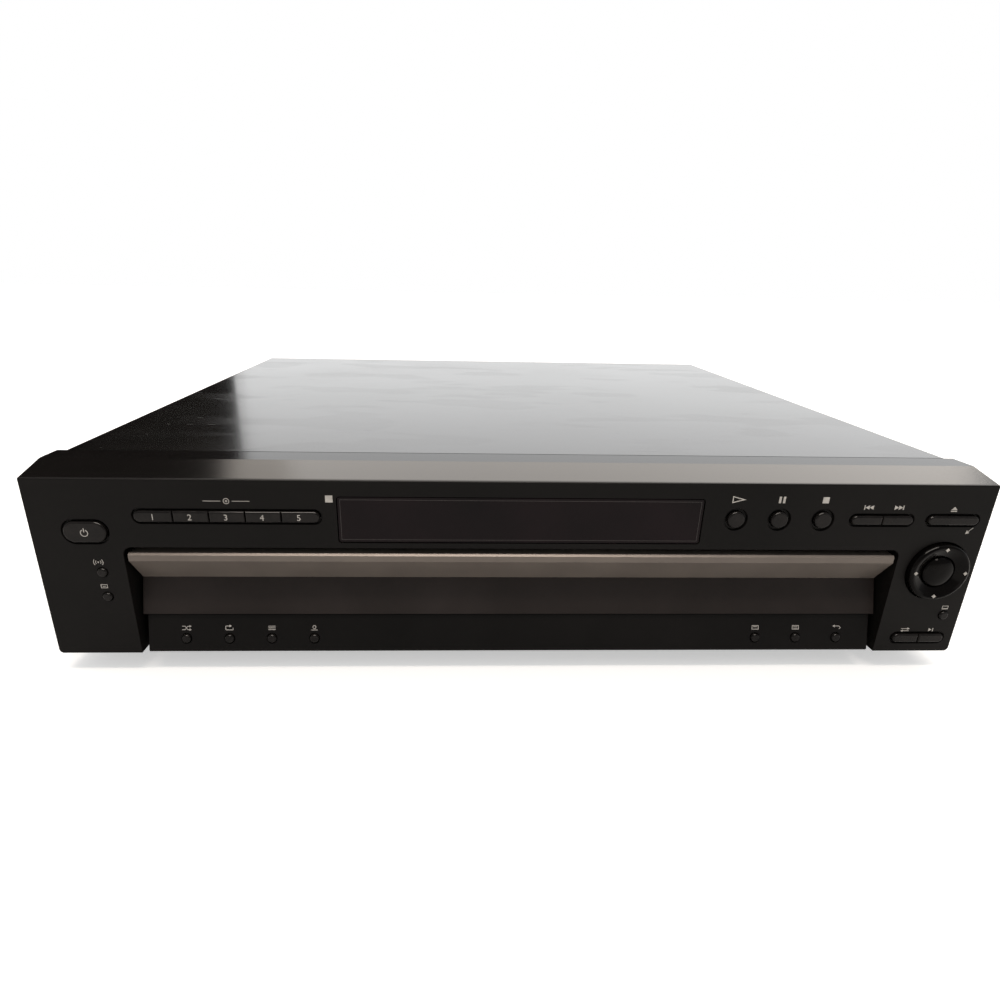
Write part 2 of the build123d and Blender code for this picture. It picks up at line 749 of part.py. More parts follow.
pulley_gear_line = gear_outline(pulley_gear_teeth, load_module, (pulley_gear_x, pulley_gear_y), pulley_phase)
with BuildPart() as pulley_gear:
    with BuildSketch(Plane.XY.offset(gear_z - 0.2)):
        with Locations((pulley_gear_x, pulley_gear_y)):
            with BuildLine():
                Polyline(*pulley_gear_line, close=True)
            make_face()
    extrude(amount=pulley_z - gear_z + 0.2)
    with BuildSketch(Plane.XY.offset(pulley_z)):
        with Locations((pulley_gear_x, pulley_gear_y)):
            Circle(pulley_r + 1.5)
    extrude(amount=1.2)
    with BuildSketch(Plane.XY.offset(pulley_z + 1.2)):
        with Locations((pulley_gear_x, pulley_gear_y)):
            Circle(pulley_r)
    extrude(amount=2.0)
    with BuildSketch(Plane.XY.offset(pulley_z + 3.2)):
        with Locations((pulley_gear_x, pulley_gear_y)):
            Circle(pulley_r + 1.5)
    extrude(amount=1.2)
    with BuildSketch(Plane.XY.offset(gear_z - 1)):
        with Locations((pulley_gear_x, pulley_gear_y)):
            Circle(shaft_r + shaft_gap)
    extrude(amount=30, mode=Mode.SUBTRACT)
save(pulley_gear.part, "pulley_gear")

with BuildPart() as loading_motor:
    with BuildSketch(Plane.XY.offset(13.6)):
        with Locations((motor_x, motor_y)):
            Circle(12)
            Rectangle(24, 18, mode=Mode.INTERSECT)
    extrude(amount=10.4)
    with BuildSketch(Plane.XY.offset(24.0)):
        with Locations((motor_x, motor_y)):
            Circle(1.0)
    extrude(amount=6.0)
save(loading_motor.part, "loading_motor")

with BuildPart() as motor_pulley:
    with BuildSketch(Plane.XY.offset(pulley_z)):
        with Locations((motor_x, motor_y)):
            Circle(motor_pulley_r + 1.2)
    extrude(amount=4.4)
    with BuildSketch(Plane.XY.offset(pulley_z + 1.2)):
        with Locations((motor_x, motor_y)):
            Circle(motor_pulley_r + 1.4)
            Circle(motor_pulley_r, mode=Mode.SUBTRACT)
    extrude(amount=2.0, mode=Mode.SUBTRACT)
    with BuildSketch(Plane.XY.offset(pulley_z - 1)):
        with Locations((motor_x, motor_y)):
            Circle(1.05)
    extrude(amount=10, mode=Mode.SUBTRACT)
save(motor_pulley.part, "motor_pulley")

# Belt: two arcs joined by the common tangents of the pulleys
belt_span = math.hypot(motor_x - pulley_gear_x, motor_y - pulley_gear_y)
belt_turn = math.degrees(math.atan2(motor_y - pulley_gear_y, motor_x - pulley_gear_x))


def on_circle(x, y, radius, angle):
    """Point on a circle about (x, y), angle in degrees."""
    return (x + radius * math.cos(math.radians(angle)), y + radius * math.sin(math.radians(angle)))


def belt_outline(grow):
    """Belt line around both pulleys, grown outward."""
    big = pulley_r + grow
    small = motor_pulley_r + grow
    lean = math.degrees(math.acos((big - small) / belt_span))
    upper_big = on_circle(pulley_gear_x, pulley_gear_y, big, belt_turn + lean)
    lower_big = on_circle(pulley_gear_x, pulley_gear_y, big, belt_turn - lean)
    upper_small = on_circle(motor_x, motor_y, small, belt_turn + lean)
    lower_small = on_circle(motor_x, motor_y, small, belt_turn - lean)
    far_big = on_circle(pulley_gear_x, pulley_gear_y, big, belt_turn + 180)
    far_small = on_circle(motor_x, motor_y, small, belt_turn)
    Line(upper_big, upper_small)
    ThreePointArc(upper_small, far_small, lower_small)
    Line(lower_small, lower_big)
    ThreePointArc(lower_big, far_big, upper_big)


with BuildPart() as loading_belt:
    with BuildSketch(Plane.XY.offset(pulley_z + 1.6)):
        with BuildLine():
            belt_outline(belt_t)
        make_face()
        with BuildLine():
            belt_outline(0.04)
        make_face(mode=Mode.SUBTRACT)
    extrude(amount=belt_t)
save(loading_belt.part, "loading_belt")

# Mechanism deck: moulded plate on bosses, with side channels for the drawer and shafts for the gears
deck_front_y = face_y + 20.0
deck_back_y = 184.0
deck_half = 180.0
channel_inner = tray_half + 0.5
channel_wall = tray_half + 3.3
unit_half = 46.0
unit_length = 102.0
pin_x = 17.0
cam_end = 26.0
cam_y = 72.0
cam_t = 3.0
cam_travel = 34.0
with BuildPart() as mechanism_deck:
    with BuildSketch(Plane.XY.offset(deck_z)):
        with Locations((0, (deck_front_y + deck_back_y) / 2)):
            Rectangle(2 * deck_half, deck_back_y - deck_front_y)
        with Locations((0, (drive_gap_front_y + hinge_y) / 2 - 4)):
            Rectangle(2 * (unit_half + 5), hinge_y - drive_gap_front_y + 16, mode=Mode.SUBTRACT)
        # notch that the cam slider runs out through
        with Locations((pin_x + (cam_end + cam_travel) / 2, cam_y + cam_t / 2)):
            Rectangle(cam_end + cam_travel + 4, cam_t + 3, mode=Mode.SUBTRACT)
        with Locations((motor_x, motor_y)):
            Circle(12.6, mode=Mode.SUBTRACT)
        with Locations((-105, 20), (105, 20), (-105, -55), (110, -55)):
            RectangleRounded(70, 56, 6, mode=Mode.SUBTRACT)
    extrude(amount=deck_top_z - deck_z)
    # channels: wall outside the runner, ledge below it
    with BuildSketch(Plane.XY.offset(deck_top_z)):
        for side in (-1, 1):
            with Locations((side * (channel_wall + deck_half) / 2, (deck_front_y + deck_back_y) / 2)):
                Rectangle(deck_half - channel_wall, deck_back_y - deck_front_y)
    extrude(amount=60.0 - deck_top_z)
    with BuildSketch(Plane.XY.offset(deck_top_z)):
        for side in (-1, 1):
            with Locations((side * (channel_inner + channel_wall) / 2, (deck_front_y + deck_back_y) / 2)):
                Rectangle(channel_wall - channel_inner, deck_back_y - deck_front_y)
    extrude(amount=tray_bottom_z - 0.3 - deck_top_z)
    # feet bosses on the base plate
    with BuildSketch(Plane.XY.offset(13.3)):
        with Locations(*[(x, y) for x in (-165, 165) for y in (-160, 0, 160)]):
            Circle(6)
    extrude(amount=deck_z - 13.3)
    # gear shafts
    with BuildSketch(Plane.XY.offset(deck_top_z)):
        with Locations((pinion_x, pinion_y), (pulley_gear_x, pulley_gear_y)):
            Circle(5)
    extrude(amount=gear_z - 0.4 - deck_top_z)
    with BuildSketch(Plane.XY.offset(deck_top_z)):
        with Locations((pinion_x, pinion_y)):
            Circle(shaft_r)
    extrude(amount=rack_top_z - 0.8 - deck_top_z)
    with BuildSketch(Plane.XY.offset(deck_top_z)):
        with Locations((pulley_gear_x, pulley_gear_y)):
            Circle(shaft_r)
    extrude(amount=31.0 - deck_top_z)
    # hinge ears for the drive
    for ear_x in (unit_half + 1.0, -unit_half - 5.0):
        with BuildSketch(Plane.YZ.offset(ear_x)):
            with BuildLine():
                Polyline(
                    (hinge_y - 7, deck_top_z),
                    (hinge_y - 5, hinge_z + 5),
                    (hinge_y + 5, hinge_z + 5),
                    (hinge_y + 7, deck_top_z),
                    close=True,
                )
            make_face()
            with Locations((hinge_y, hinge_z)):
                Circle(2.56, mode=Mode.SUBTRACT)
        extrude(amount=4.0)
    with BuildSketch(Plane.XY.offset(deck_z)):
        for side in (-1, 1):
            with Locations((side * (unit_half + 5.0), hinge_y)):
                Rectangle(8, 15)
    extrude(amount=deck_top_z - deck_z)
save(mechanism_deck.part, "mechanism_deck")

# Drive base unit, drawn in its raised place and built on a plane tilted about the hinge
tilt = math.radians(drive_tilt)
unit_plane = Plane(
    origin=(0, hinge_y, hinge_z), x_dir=(1, 0, 0), z_dir=(0, -math.sin(tilt), math.cos(tilt))
)
plate_h = drive_plate_z - hinge_z
seat_h = disc_seat_z - hinge_z
spindle_v = -(hinge_y - spindle_y)
pin_r = 2.0
rod_u = 27.0
rod_h = plate_h - 6.0
pickup_v = spindle_v + 26.0
pin_h = -2.0
pin_front_v = -107.0
rod_r = 1.5
rod_start = unit_plane.from_local_coords((0, -95, rod_h))
rod_plane = Plane(origin=rod_start, x_dir=(1, 0, 0), z_dir=unit_plane.y_dir)
pin_mid_v = -103.0
skirt_front_v = -98.0
with BuildPart() as base_unit:
    with BuildSketch(unit_plane.offset(plate_h - 2.5)):
        with Locations((0, -unit_length / 2 + 2)):
            RectangleRounded(2 * unit_half - 6, unit_length - 4, 3)
        with Locations((0, pickup_v + 12)):
            Rectangle(46, 68, mode=Mode.SUBTRACT)
        with Locations((0, spindle_v)):
            Circle(7, mode=Mode.SUBTRACT)
    extrude(amount=2.5)
    # skirt round the plate
    with BuildSketch(unit_plane.offset(plate_h - 12)):
        with Locations((0, -unit_length / 2 + 2)):
            RectangleRounded(2 * unit_half - 6, unit_length - 4, 3)
            RectangleRounded(2 * unit_half - 10, unit_length - 8, 1.5, mode=Mode.SUBTRACT)
    extrude(amount=10)
    # motor bracket under the spindle
    with BuildSketch(unit_plane.offset(plate_h - 5.5)):
        with Locations((0, spindle_v - 4)):
            Rectangle(2 * unit_half - 10, 26)
        with Locations((0, spindle_v)):
            Circle(3.2, mode=Mode.SUBTRACT)
        with Locations((0, spindle_v + 10)):
            Rectangle(44, 4, mode=Mode.SUBTRACT)
    extrude(amount=3.0)
    with BuildSketch(unit_plane.offset(plate_h - 14)):
        with Locations((0, spindle_v)):
            Circle(12)
            Circle(3.2, mode=Mode.SUBTRACT)
    extrude(amount=8.5)
    # hinge pins and cam pin
    with BuildSketch(Plane.YZ.offset(-unit_half - 4.5)):
        with Locations((hinge_y, hinge_z)):
            Circle(2.5)
    extrude(amount=10)
    with BuildSketch(Plane.YZ.offset(unit_half - 5.5)):
        with Locations((hinge_y, hinge_z)):
            Circle(2.5)
    extrude(amount=10)
    with BuildSketch(unit_plane.offset(-5.0)):
        for side in (-1, 1):
            with Locations((side * (unit_half - 5.5), -1)):
                Rectangle(5, 10)
    extrude(amount=plate_h + 4.0)
    pin_root = unit_plane.from_local_coords((pin_x, skirt_front_v + 1, pin_h))
    pin_plane = Plane(origin=pin_root, x_dir=(1, 0, 0), z_dir=-unit_plane.y_dir)
    with BuildSketch(pin_plane):
        Circle(pin_r)
    extrude(amount=skirt_front_v + 1 - pin_front_v)
    # guide rods, pressed into the skirt at both ends
    with BuildSketch(rod_plane):
        with Locations((-rod_u, 0), (rod_u, 0)):
            Circle(rod_r)
    extrude(amount=88)
save(base_unit.part, "base_unit")

with BuildPart() as optical_pickup:
    with BuildSketch(unit_plane.offset(rod_h - 3.0)):
        with Locations((0, pickup_v)):
            Rectangle(2 * rod_u + 8, 22)
    extrude(amount=plate_h - 3.0 - rod_h + 3.0)
    with BuildSketch(unit_plane.offset(plate_h - 3.0)):
        with Locations((0, pickup_v)):
            RectangleRounded(36, 21, 2)
    extrude(amount=8.5)
    with BuildSketch(unit_plane.offset(plate_h + 5.5)):
        with Locations((0, pickup_v - 3)):
            Circle(5.5)
    extrude(amount=3.0)
    with BuildSketch(unit_plane.offset(plate_h + 8.5)):
        with Locations((0, pickup_v - 3)):
            Circle(2.2)
    extrude(amount=1.2)
    with BuildSketch(rod_plane.offset(-5)):
        with Locations((-rod_u, 0), (rod_u, 0)):
            Circle(rod_r + 0.06)
    extrude(amount=100, mode=Mode.SUBTRACT)
save(optical_pickup.part, "optical_pickup")

with BuildPart() as turntable:
    with BuildSketch(unit_plane.offset(-4)):
        with Locations((0, spindle_v)):
            Circle(1.5)
    extrude(amount=seat_h - 3.0 + 4)
    with BuildSketch(unit_plane.offset(seat_h - 3.0)):
        with Locations((0, spindle_v)):
            Circle(14.5)
    extrude(amount=3.0)
    with BuildSketch(unit_plane.offset(seat_h)):
        with Locations((0, spindle_v)):
            Circle(7.4)
    extrude(amount=2.5, taper=18)
save(turntable.part, "turntable")

# Cam slider: an inclined slot lifts the pin of the base unit as the slider moves sideways
base_top_z = 13.3
pin_low_z = hinge_z + pin_mid_v * math.sin(tilt) + pin_h * math.cos(tilt)
pin_high_z = hinge_z + pin_h
slot_gap = 0.8
with BuildPart() as cam_slider:
    with BuildSketch(Plane.XZ.offset(-cam_y)):
        with BuildLine():
            Polyline(
                (pin_x - cam_travel - 12, base_top_z + 0.2),
                (pin_x + cam_end, base_top_z + 0.2),
                (pin_x + cam_end, pin_low_z + 6),
                (pin_x + 8, pin_low_z + 6),
                (pin_x - cam_travel + 9, pin_high_z + 5.6),
                (pin_x - cam_travel - 12, pin_high_z + 5.6),
                close=True,
            )
        make_face()
    extrude(amount=-cam_t)
    cam_length = math.hypot(cam_travel, pin_high_z - pin_low_z)
    cam_angle = -math.degrees(math.atan2(pin_high_z - pin_low_z, cam_travel))
    with BuildSketch(Plane.XZ.offset(-cam_y + 1)):
        with Locations((pin_x - cam_travel / 2, (pin_low_z + pin_high_z) / 2)):
            SlotCenterToCenter(cam_length, 2 * (pin_r + slot_gap), rotation=cam_angle)
    extrude(amount=-cam_t - 2, mode=Mode.SUBTRACT)
save(cam_slider.part, "cam_slider")

# Chuck bridge: steel plate over the drawer on folded legs, with studs for the main board
bridge_z = 64.5
bridge_t = 1.5
bridge_front_y = 78.0
bridge_back_y = 184.0
clamp_neck_r = 13.2
board_studs = [(x, y) for x in (-150, 30) for y in (122, 178)]
main_board_z = 74.0
with BuildPart() as chuck_bridge:
    with BuildSketch(Plane.XY.offset(bridge_z)):
        with Locations((0, (bridge_front_y + bridge_back_y) / 2)):
            Rectangle(2 * deck_half, bridge_back_y - bridge_front_y)
        with Locations((0, spindle_y)):
            Circle(clamp_neck_r + 0.8, mode=Mode.SUBTRACT)
        with Locations((-95, 100), (95, 100)):
            SlotOverall(90, 14, mode=Mode.SUBTRACT)
    extrude(amount=bridge_t)
    with BuildSketch(Plane.XY.offset(60.0)):
        for side in (-1, 1):
            with Locations((side * (deck_half - 2), (bridge_front_y + bridge_back_y) / 2)):
                Rectangle(4, bridge_back_y - bridge_front_y)
    extrude(amount=bridge_z - 60.0)
    with BuildSketch(Plane.XY.offset(bridge_z + bridge_t)):
        with Locations(*board_studs):
            Circle(3)
    extrude(amount=main_board_z - bridge_z - bridge_t)
save(chuck_bridge.part, "chuck_bridge")

with BuildPart() as clamper:
    with BuildSketch(Plane.XZ.offset(-spindle_y)):
        with BuildLine():
            Polyline(
                (4.0, 66.0), (4.0, 63.6), (8.2, 63.6), (8.2, 60.9), (clamp_neck_r, 60.9), (clamp_neck_r, 66.3),
                (18.0, 66.3), (18.0, 68.3), (6.0, 69.6), (0, 69.6), (0, 66.0), close=True,
            )
        make_face()
    revolve(axis=Axis((0, spindle_y, 0), (0, 0, 1)))
save(clamper.part, "clamper")

# Base chassis: steel tray with turned-up sides and front, stiffening ribs and vents
base_half = 210.0
base_front_y = face_y + 17.0
base_back_y = 194.0
base_len = base_back_y - base_front_y
with BuildPart() as base_chassis:
    with BuildSketch(Plane.XY.offset(base_top_z - sheet)):
        with Locations((0, (base_front_y + base_back_y) / 2)):
            Rectangle(2 * base_half, base_len)
        with Locations((-192, -60), (192, -60)):
            with GridLocations(0, 9, 1, 12):
                SlotOverall(16, 3, mode=Mode.SUBTRACT)
    extrude(amount=sheet)
    with BuildSketch(Plane.XY.offset(base_top_z)):
        for side in (-1, 1):
            with Locations((side * (base_half - sheet / 2), (base_front_y + base_back_y) / 2)):
                Rectangle(sheet, base_len)
    extrude(amount=11.0)
    # guides for the cam slider
    with BuildSketch(Plane.XY.offset(base_top_z)):
        with Locations(*[(x, y) for x in (-10, 46) for y in (cam_y - 1.3, cam_y + cam_t + 1.3)]):
            Rectangle(9, 2)
    extrude(amount=3.0)
save(base_chassis.part, "base_chassis")

# Feet: moulded discs with a recessed screw, standing on a flat ring
foot_places = [(x, y) for x in (-175, 175) for y in (-150, 150)]
with BuildPart() as feet:
    with BuildSketch(Plane.XY):
        with Locations(*foot_places):
            Circle(19)
            Circle(6, mode=Mode.SUBTRACT)
    extrude(amount=base_top_z - sheet, taper=-3)
    with BuildSketch(Plane.XY.offset(8.5)):
        with Locations(*foot_places):
            Circle(7)
    extrude(amount=base_top_z - sheet - 8.5)
save(feet.part, "feet")

# Rear panel
rear_t = 1.0
jack_places = [(x, z) for x in (-120, -104, -88, -72, -56) for z in (77.5, 89.5)]
with BuildPart() as rear_panel:
    with BuildSketch(Plane.XZ.offset(-base_back_y)):
        with Locations((0, (base_top_z + 98.6) / 2)):
            Rectangle(2 * base_half, 98.6 - base_top_z)
        with Locations(*jack_places):
            Circle(5.2, mode=Mode.SUBTRACT)
        with Locations((-30, 85), (-10, 85)):
            Rectangle(13, 13, mode=Mode.SUBTRACT)
        with Locations((165, 40)):
            Circle(6.1, mode=Mode.SUBTRACT)
        with Locations((120, 84)):
            with GridLocations(5, 0, 12, 1):
                SlotOverall(16, 2.4, rotation=90, mode=Mode.SUBTRACT)
    extrude(amount=-rear_t)
save(rear_panel.part, "rear_panel")

# Jacks on the main board, with barrels through the rear panel
with BuildPart() as av_jacks:
    with BuildSketch(Plane.XY.offset(main_board_z + 1.6)):
        with Locations((-88, 187.5)):
            Rectangle(78, 12.6)
        with Locations((-20, 187.5)):
            Rectangle(36, 12.6)
    extrude(amount=20.5)
    with BuildSketch(Plane.XZ.offset(-193.8)):
        with Locations(*jack_places):
            Circle(4.15)
            Circle(1.6, mode=Mode.SUBTRACT)
    extrude(amount=-(back_y + 3.0 - 193.8))
    with BuildSketch(Plane.XZ.offset(-193.8)):
        with Locations((-30, 85), (-10, 85)):
            Rectangle(12, 12)
            Circle(3.6, mode=Mode.SUBTRACT)
    extrude(amount=-2.4)
save(av_jacks.part, "av_jacks")

with BuildPart() as main_board:
    with BuildSketch(Plane.XY.offset(main_board_z)):
        with Locations((-60, 152)):
            Rectangle(220, 83.4)
    extrude(amount=1.6)
    with BuildSketch(Plane.XY.offset(main_board_z + 1.6)):
        with Locations((-70, 150), (-115, 145)):
            Rectangle(28, 28)
        with Locations((-20, 150), (20, 140)):
            Rectangle(14, 20)
    extrude(amount=2.0)
    with BuildSketch(Plane.XY.offset(main_board_z + 1.6)):
        with Locations((5, 170), (18, 170), (31, 170), (-150, 130)):
            Circle(4)
    extrude(amount=11.0)
save(main_board.part, "main_board")

with BuildPart() as power_board:
    with BuildSketch(Plane.XY.offset(base_top_z + 6.0)):
        with Locations((195, 65)):
            Rectangle(26, 220)
    extrude(amount=1.6)
    with BuildSketch(Plane.XY.offset(base_top_z)):
        with Locations(*[(195, y) for y in (-38, 168)]):
            Circle(3)
    extrude(amount=6.0)
    with BuildSketch(Plane.XY.offset(base_top_z + 7.6)):
        with Locations((194, 60)):
            Rectangle(22, 30)
        with Locations((194, 20)):
            Rectangle(3, 36)
    extrude(amount=24.0)
    with BuildSketch(Plane.XY.offset(base_top_z + 7.6)):
        with Locations((194, 110), (194, 140)):
            Circle(9)
    extrude(amount=30.0)
save(power_board.part, "power_board")

with BuildPart() as cord_gland:
    with BuildSketch(Plane.XZ.offset(-(base_back_y - 1.5))):
        with Locations((165, 40)):
            Circle(5.9)
            Circle(3.2, mode=Mode.SUBTRACT)
    extrude(amount=-4.0)
    with BuildSketch(Plane.XZ.offset(-(base_back_y + rear_t))):
        with Locations((165, 40)):
            Circle(8.5)
            Circle(3.2, mode=Mode.SUBTRACT)
    extrude(amount=-2.2)
save(cord_gland.part, "cord_gland")

# Top cover: steel wrapper over top and sides, with a hem at the back
cover_front_y = face_y + panel_depth + 0.2
cover_len = back_y - cover_front_y
cover_half = cover_width / 2
with BuildPart() as top_cover:
    with BuildSketch(Plane.XZ.offset(-cover_front_y)):
        with Locations((0, (case_top_z + base_top_z) / 2)):
            Rectangle(cover_width, case_top_z - base_top_z)
    extrude(amount=-cover_len)
    fillet(top_cover.edges().filter_by(Axis.Y).group_by(Axis.Z)[-1], 1.6)
    with BuildSketch(Plane.XZ.offset(-cover_front_y)):
        with Locations((0, (case_top_z + base_top_z) / 2 - 1)):
            Rectangle(cover_width - 2 * sheet, case_top_z - base_top_z - 2 * sheet + 2)
    extrude(amount=-cover_len, mode=Mode.SUBTRACT)
    with BuildSketch(Plane.XZ.offset(-(base_back_y + rear_t + 0.1))):
        with Locations((0, 97.0)):
            Rectangle(cover_width - 2 * sheet, 4.4)
    extrude(amount=-(back_y - base_back_y - rear_t - 0.1 - 0.6))
save(top_cover.part, "top_cover")

# Screws: two each side of the cover and six at the rear, with rounded heads and a cross recess
side_screws = [(-130.0, 56.0), (150.0, 56.0)]
hem_screws = [(-195.0, 96.9), (195.0, 96.9)]
rear_screws = [(-195.0, 20.0), (195.0, 20.0), (-40.0, 60.0), (100.0, 20.0)]
with BuildPart() as case_screws:
    screw_sets = [
        (Plane.YZ.offset(cover_half), side_screws, 4.0, 2.2),
        (Plane(origin=(-cover_half, 0, 0), x_dir=(0, 1, 0), z_dir=(-1, 0, 0)), side_screws, 4.0, 2.2),
        (Plane(origin=(0, back_y - 0.6, 0), x_dir=(1, 0, 0), z_dir=(0, 1, 0)), hem_screws, 2.0, 1.8),
        (Plane(origin=(0, base_back_y + rear_t, 0), x_dir=(1, 0, 0), z_dir=(0, 1, 0)), rear_screws, 3.4, 2.0),
    ]
    for plane, places, head_r, head_h in screw_sets:
        # a plane that faces back has its own y axis downwards
        flip = round(plane.y_dir.Z)
        spots = [(u, flip * v) for u, v in places]
        with BuildSketch(plane):
            with Locations(*spots):
                Circle(head_r)
        extrude(amount=0.6 * head_h)
        with BuildSketch(plane.offset(0.6 * head_h)):
            with Locations(*spots):
                Circle(head_r)
        extrude(amount=0.4 * head_h, taper=45)
        with BuildSketch(plane.offset(head_h)):
            with Locations(*spots):
                Rectangle(1.1 * head_r, 0.28 * head_r)
                Rectangle(0.28 * head_r, 1.1 * head_r)
        extrude(amount=-0.6 * head_h, mode=Mode.SUBTRACT)
save(case_screws.part, "case_screws")
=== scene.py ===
import json
import math
import bpy
import bmesh
import numpy as np
from mathutils import Matrix, Vector


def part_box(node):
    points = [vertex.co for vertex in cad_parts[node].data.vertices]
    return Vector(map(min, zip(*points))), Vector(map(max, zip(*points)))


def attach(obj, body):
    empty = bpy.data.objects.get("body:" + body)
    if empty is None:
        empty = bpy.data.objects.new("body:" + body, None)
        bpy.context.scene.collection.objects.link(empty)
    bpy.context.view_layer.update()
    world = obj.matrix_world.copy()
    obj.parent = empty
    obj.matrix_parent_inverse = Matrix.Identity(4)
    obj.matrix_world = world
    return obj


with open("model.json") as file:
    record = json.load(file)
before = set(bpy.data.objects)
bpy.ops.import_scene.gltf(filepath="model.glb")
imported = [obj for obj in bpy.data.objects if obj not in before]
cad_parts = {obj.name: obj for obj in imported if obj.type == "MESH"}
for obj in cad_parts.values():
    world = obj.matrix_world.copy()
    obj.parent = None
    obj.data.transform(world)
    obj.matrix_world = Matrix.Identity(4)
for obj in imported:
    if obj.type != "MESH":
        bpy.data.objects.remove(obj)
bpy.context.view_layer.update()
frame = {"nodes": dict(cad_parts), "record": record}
nodes = frame["nodes"]
mm = 0.001
print("frame loaded:", len(nodes), "nodes")


def linearColour(code):
    # sRGB hex turned to linear rgba
    parts = [int(code[i:i + 2], 16) / 255 for i in (1, 3, 5)]
    return [c / 12.92 if c <= 0.04045 else ((c + 0.055) / 1.055) ** 2.4 for c in parts] + [1.0]


def addNode(tree, kind, settings=None, links=None):
    # one node with its settings and its incoming links, both by socket name or number
    node = tree.nodes.new(kind)
    for name, value in (settings or {}).items():
        if isinstance(name, int) or name in node.inputs:
            node.inputs[name].default_value = value
        else:
            setattr(node, name, value)
    for name, source in (links or {}).items():
        tree.links.new(source, node.inputs[name])
    return node


def noise(tree, place, size, detail, roughness=0.5):
    # noise whose patches measure about size, in mm
    settings = {"Scale": 1 / (size * mm), "Detail": detail, "Roughness": roughness}
    return addNode(tree, "ShaderNodeTexNoise", settings, {"Vector": place}).outputs[0]


def remap(tree, value, settings):
    # a value carried from one span to another; an end that isn't set is 0 or 1
    return addNode(tree, "ShaderNodeMapRange", settings, {"Value": value}).outputs[0]


def combine(tree, operation, first, second):
    # two values combined; the second may be a plain number
    settings, links = {"operation": operation}, {0: first}
    if isinstance(second, float):
        settings[1] = second
    else:
        links[1] = second
    return addNode(tree, "ShaderNodeMath", settings, links).outputs[0]


def newMaterial(name):
    material = bpy.data.materials.new(name)
    material.use_nodes = True
    tree = material.node_tree
    tree.nodes.clear()
    shader = addNode(tree, "ShaderNodeBsdfPrincipled")
    addNode(tree, "ShaderNodeOutputMaterial", links={"Surface": shader.outputs[0]})
    place = addNode(tree, "ShaderNodeTexCoord").outputs["Object"]
    return material, tree, shader, place


def wipedMarks(tree, place, roughness, size, stretch, turn, cut, added):
    # wiping marks and fine scratches: stretched noise, cut off so that only its peaks are duller
    settings = {"Rotation": (0, 0, math.radians(turn)), "Scale": (1 / stretch, 1, 1)}
    along = addNode(tree, "ShaderNodeMapping", settings, {"Vector": place}).outputs[0]
    edge = 0.06
    peak = remap(
        tree, noise(tree, along, size, 2.0), {"From Min": cut, "From Max": cut + edge, "To Max": added}
    )
    return combine(tree, "ADD", roughness, peak)


def polishedAbove(tree, place, roughness, specular, height, polishedRough, polishedSpecular):
    # above this height the tool was polished, so the moulding is smoother and mirrors more
    level = addNode(tree, "ShaderNodeSeparateXYZ", links={0: place}).outputs["Z"]
    fade = 0.3
    above = remap(tree, level, {"From Min": height * mm, "From Max": (height + fade) * mm})
    mixed = addNode(
        tree, "ShaderNodeMix", {"data_type": "FLOAT", 3: polishedRough}, {0: above, 2: roughness}
    )
    return mixed.outputs[0], remap(tree, above, {"To Min": specular, "To Max": polishedSpecular})


def finishOf(name, look):
    # one recipe for every opaque finish: two colours mixed by a broad noise, roughness that
    # wanders with it, and a fine relief; look holds the sizes in millimetres
    material, tree, shader, place = newMaterial(name)
    span = remap(tree, noise(tree, place, look["patch"], 4.0), {"From Min": 0.3, "From Max": 0.7})
    colours = {"data_type": "RGBA", 6: linearColour(look["dark"]), 7: linearColour(look["light"])}
    tint = addNode(tree, "ShaderNodeMix", colours, {0: span})
    tree.links.new(tint.outputs[2], shader.inputs["Base Color"])
    roughness = remap(tree, span, {"To Min": look["rough"][0], "To Max": look["rough"][1]})
    sockets = look.get("sockets", {})
    for marks in look.get("wiped", ()):
        roughness = wipedMarks(tree, place, roughness, *marks)
    if "polished" in look:
        roughness, mirror = polishedAbove(
            tree, place, roughness, sockets["Specular IOR Level"], *look["polished"]
        )
        tree.links.new(mirror, shader.inputs["Specular IOR Level"])
    tree.links.new(roughness, shader.inputs["Roughness"])
    grainPlace = place
    if look.get("brushed"):
        # brushing: the grain is stretched along X
        stretch = addNode(tree, "ShaderNodeMapping", {"Scale": (0.02, 1, 1)}, {"Vector": place})
        grainPlace = stretch.outputs[0]
    grain = noise(tree, grainPlace, look["grain"], 3.0, 0.6)
    bump = {"Strength": look["relief"], "Distance": look["depth"] * mm}
    relief = addNode(tree, "ShaderNodeBump", bump, {"Height": grain})
    tree.links.new(relief.outputs[0], shader.inputs["Normal"])
    for socket, value in sockets.items():
        shader.inputs[socket].default_value = value
    return material


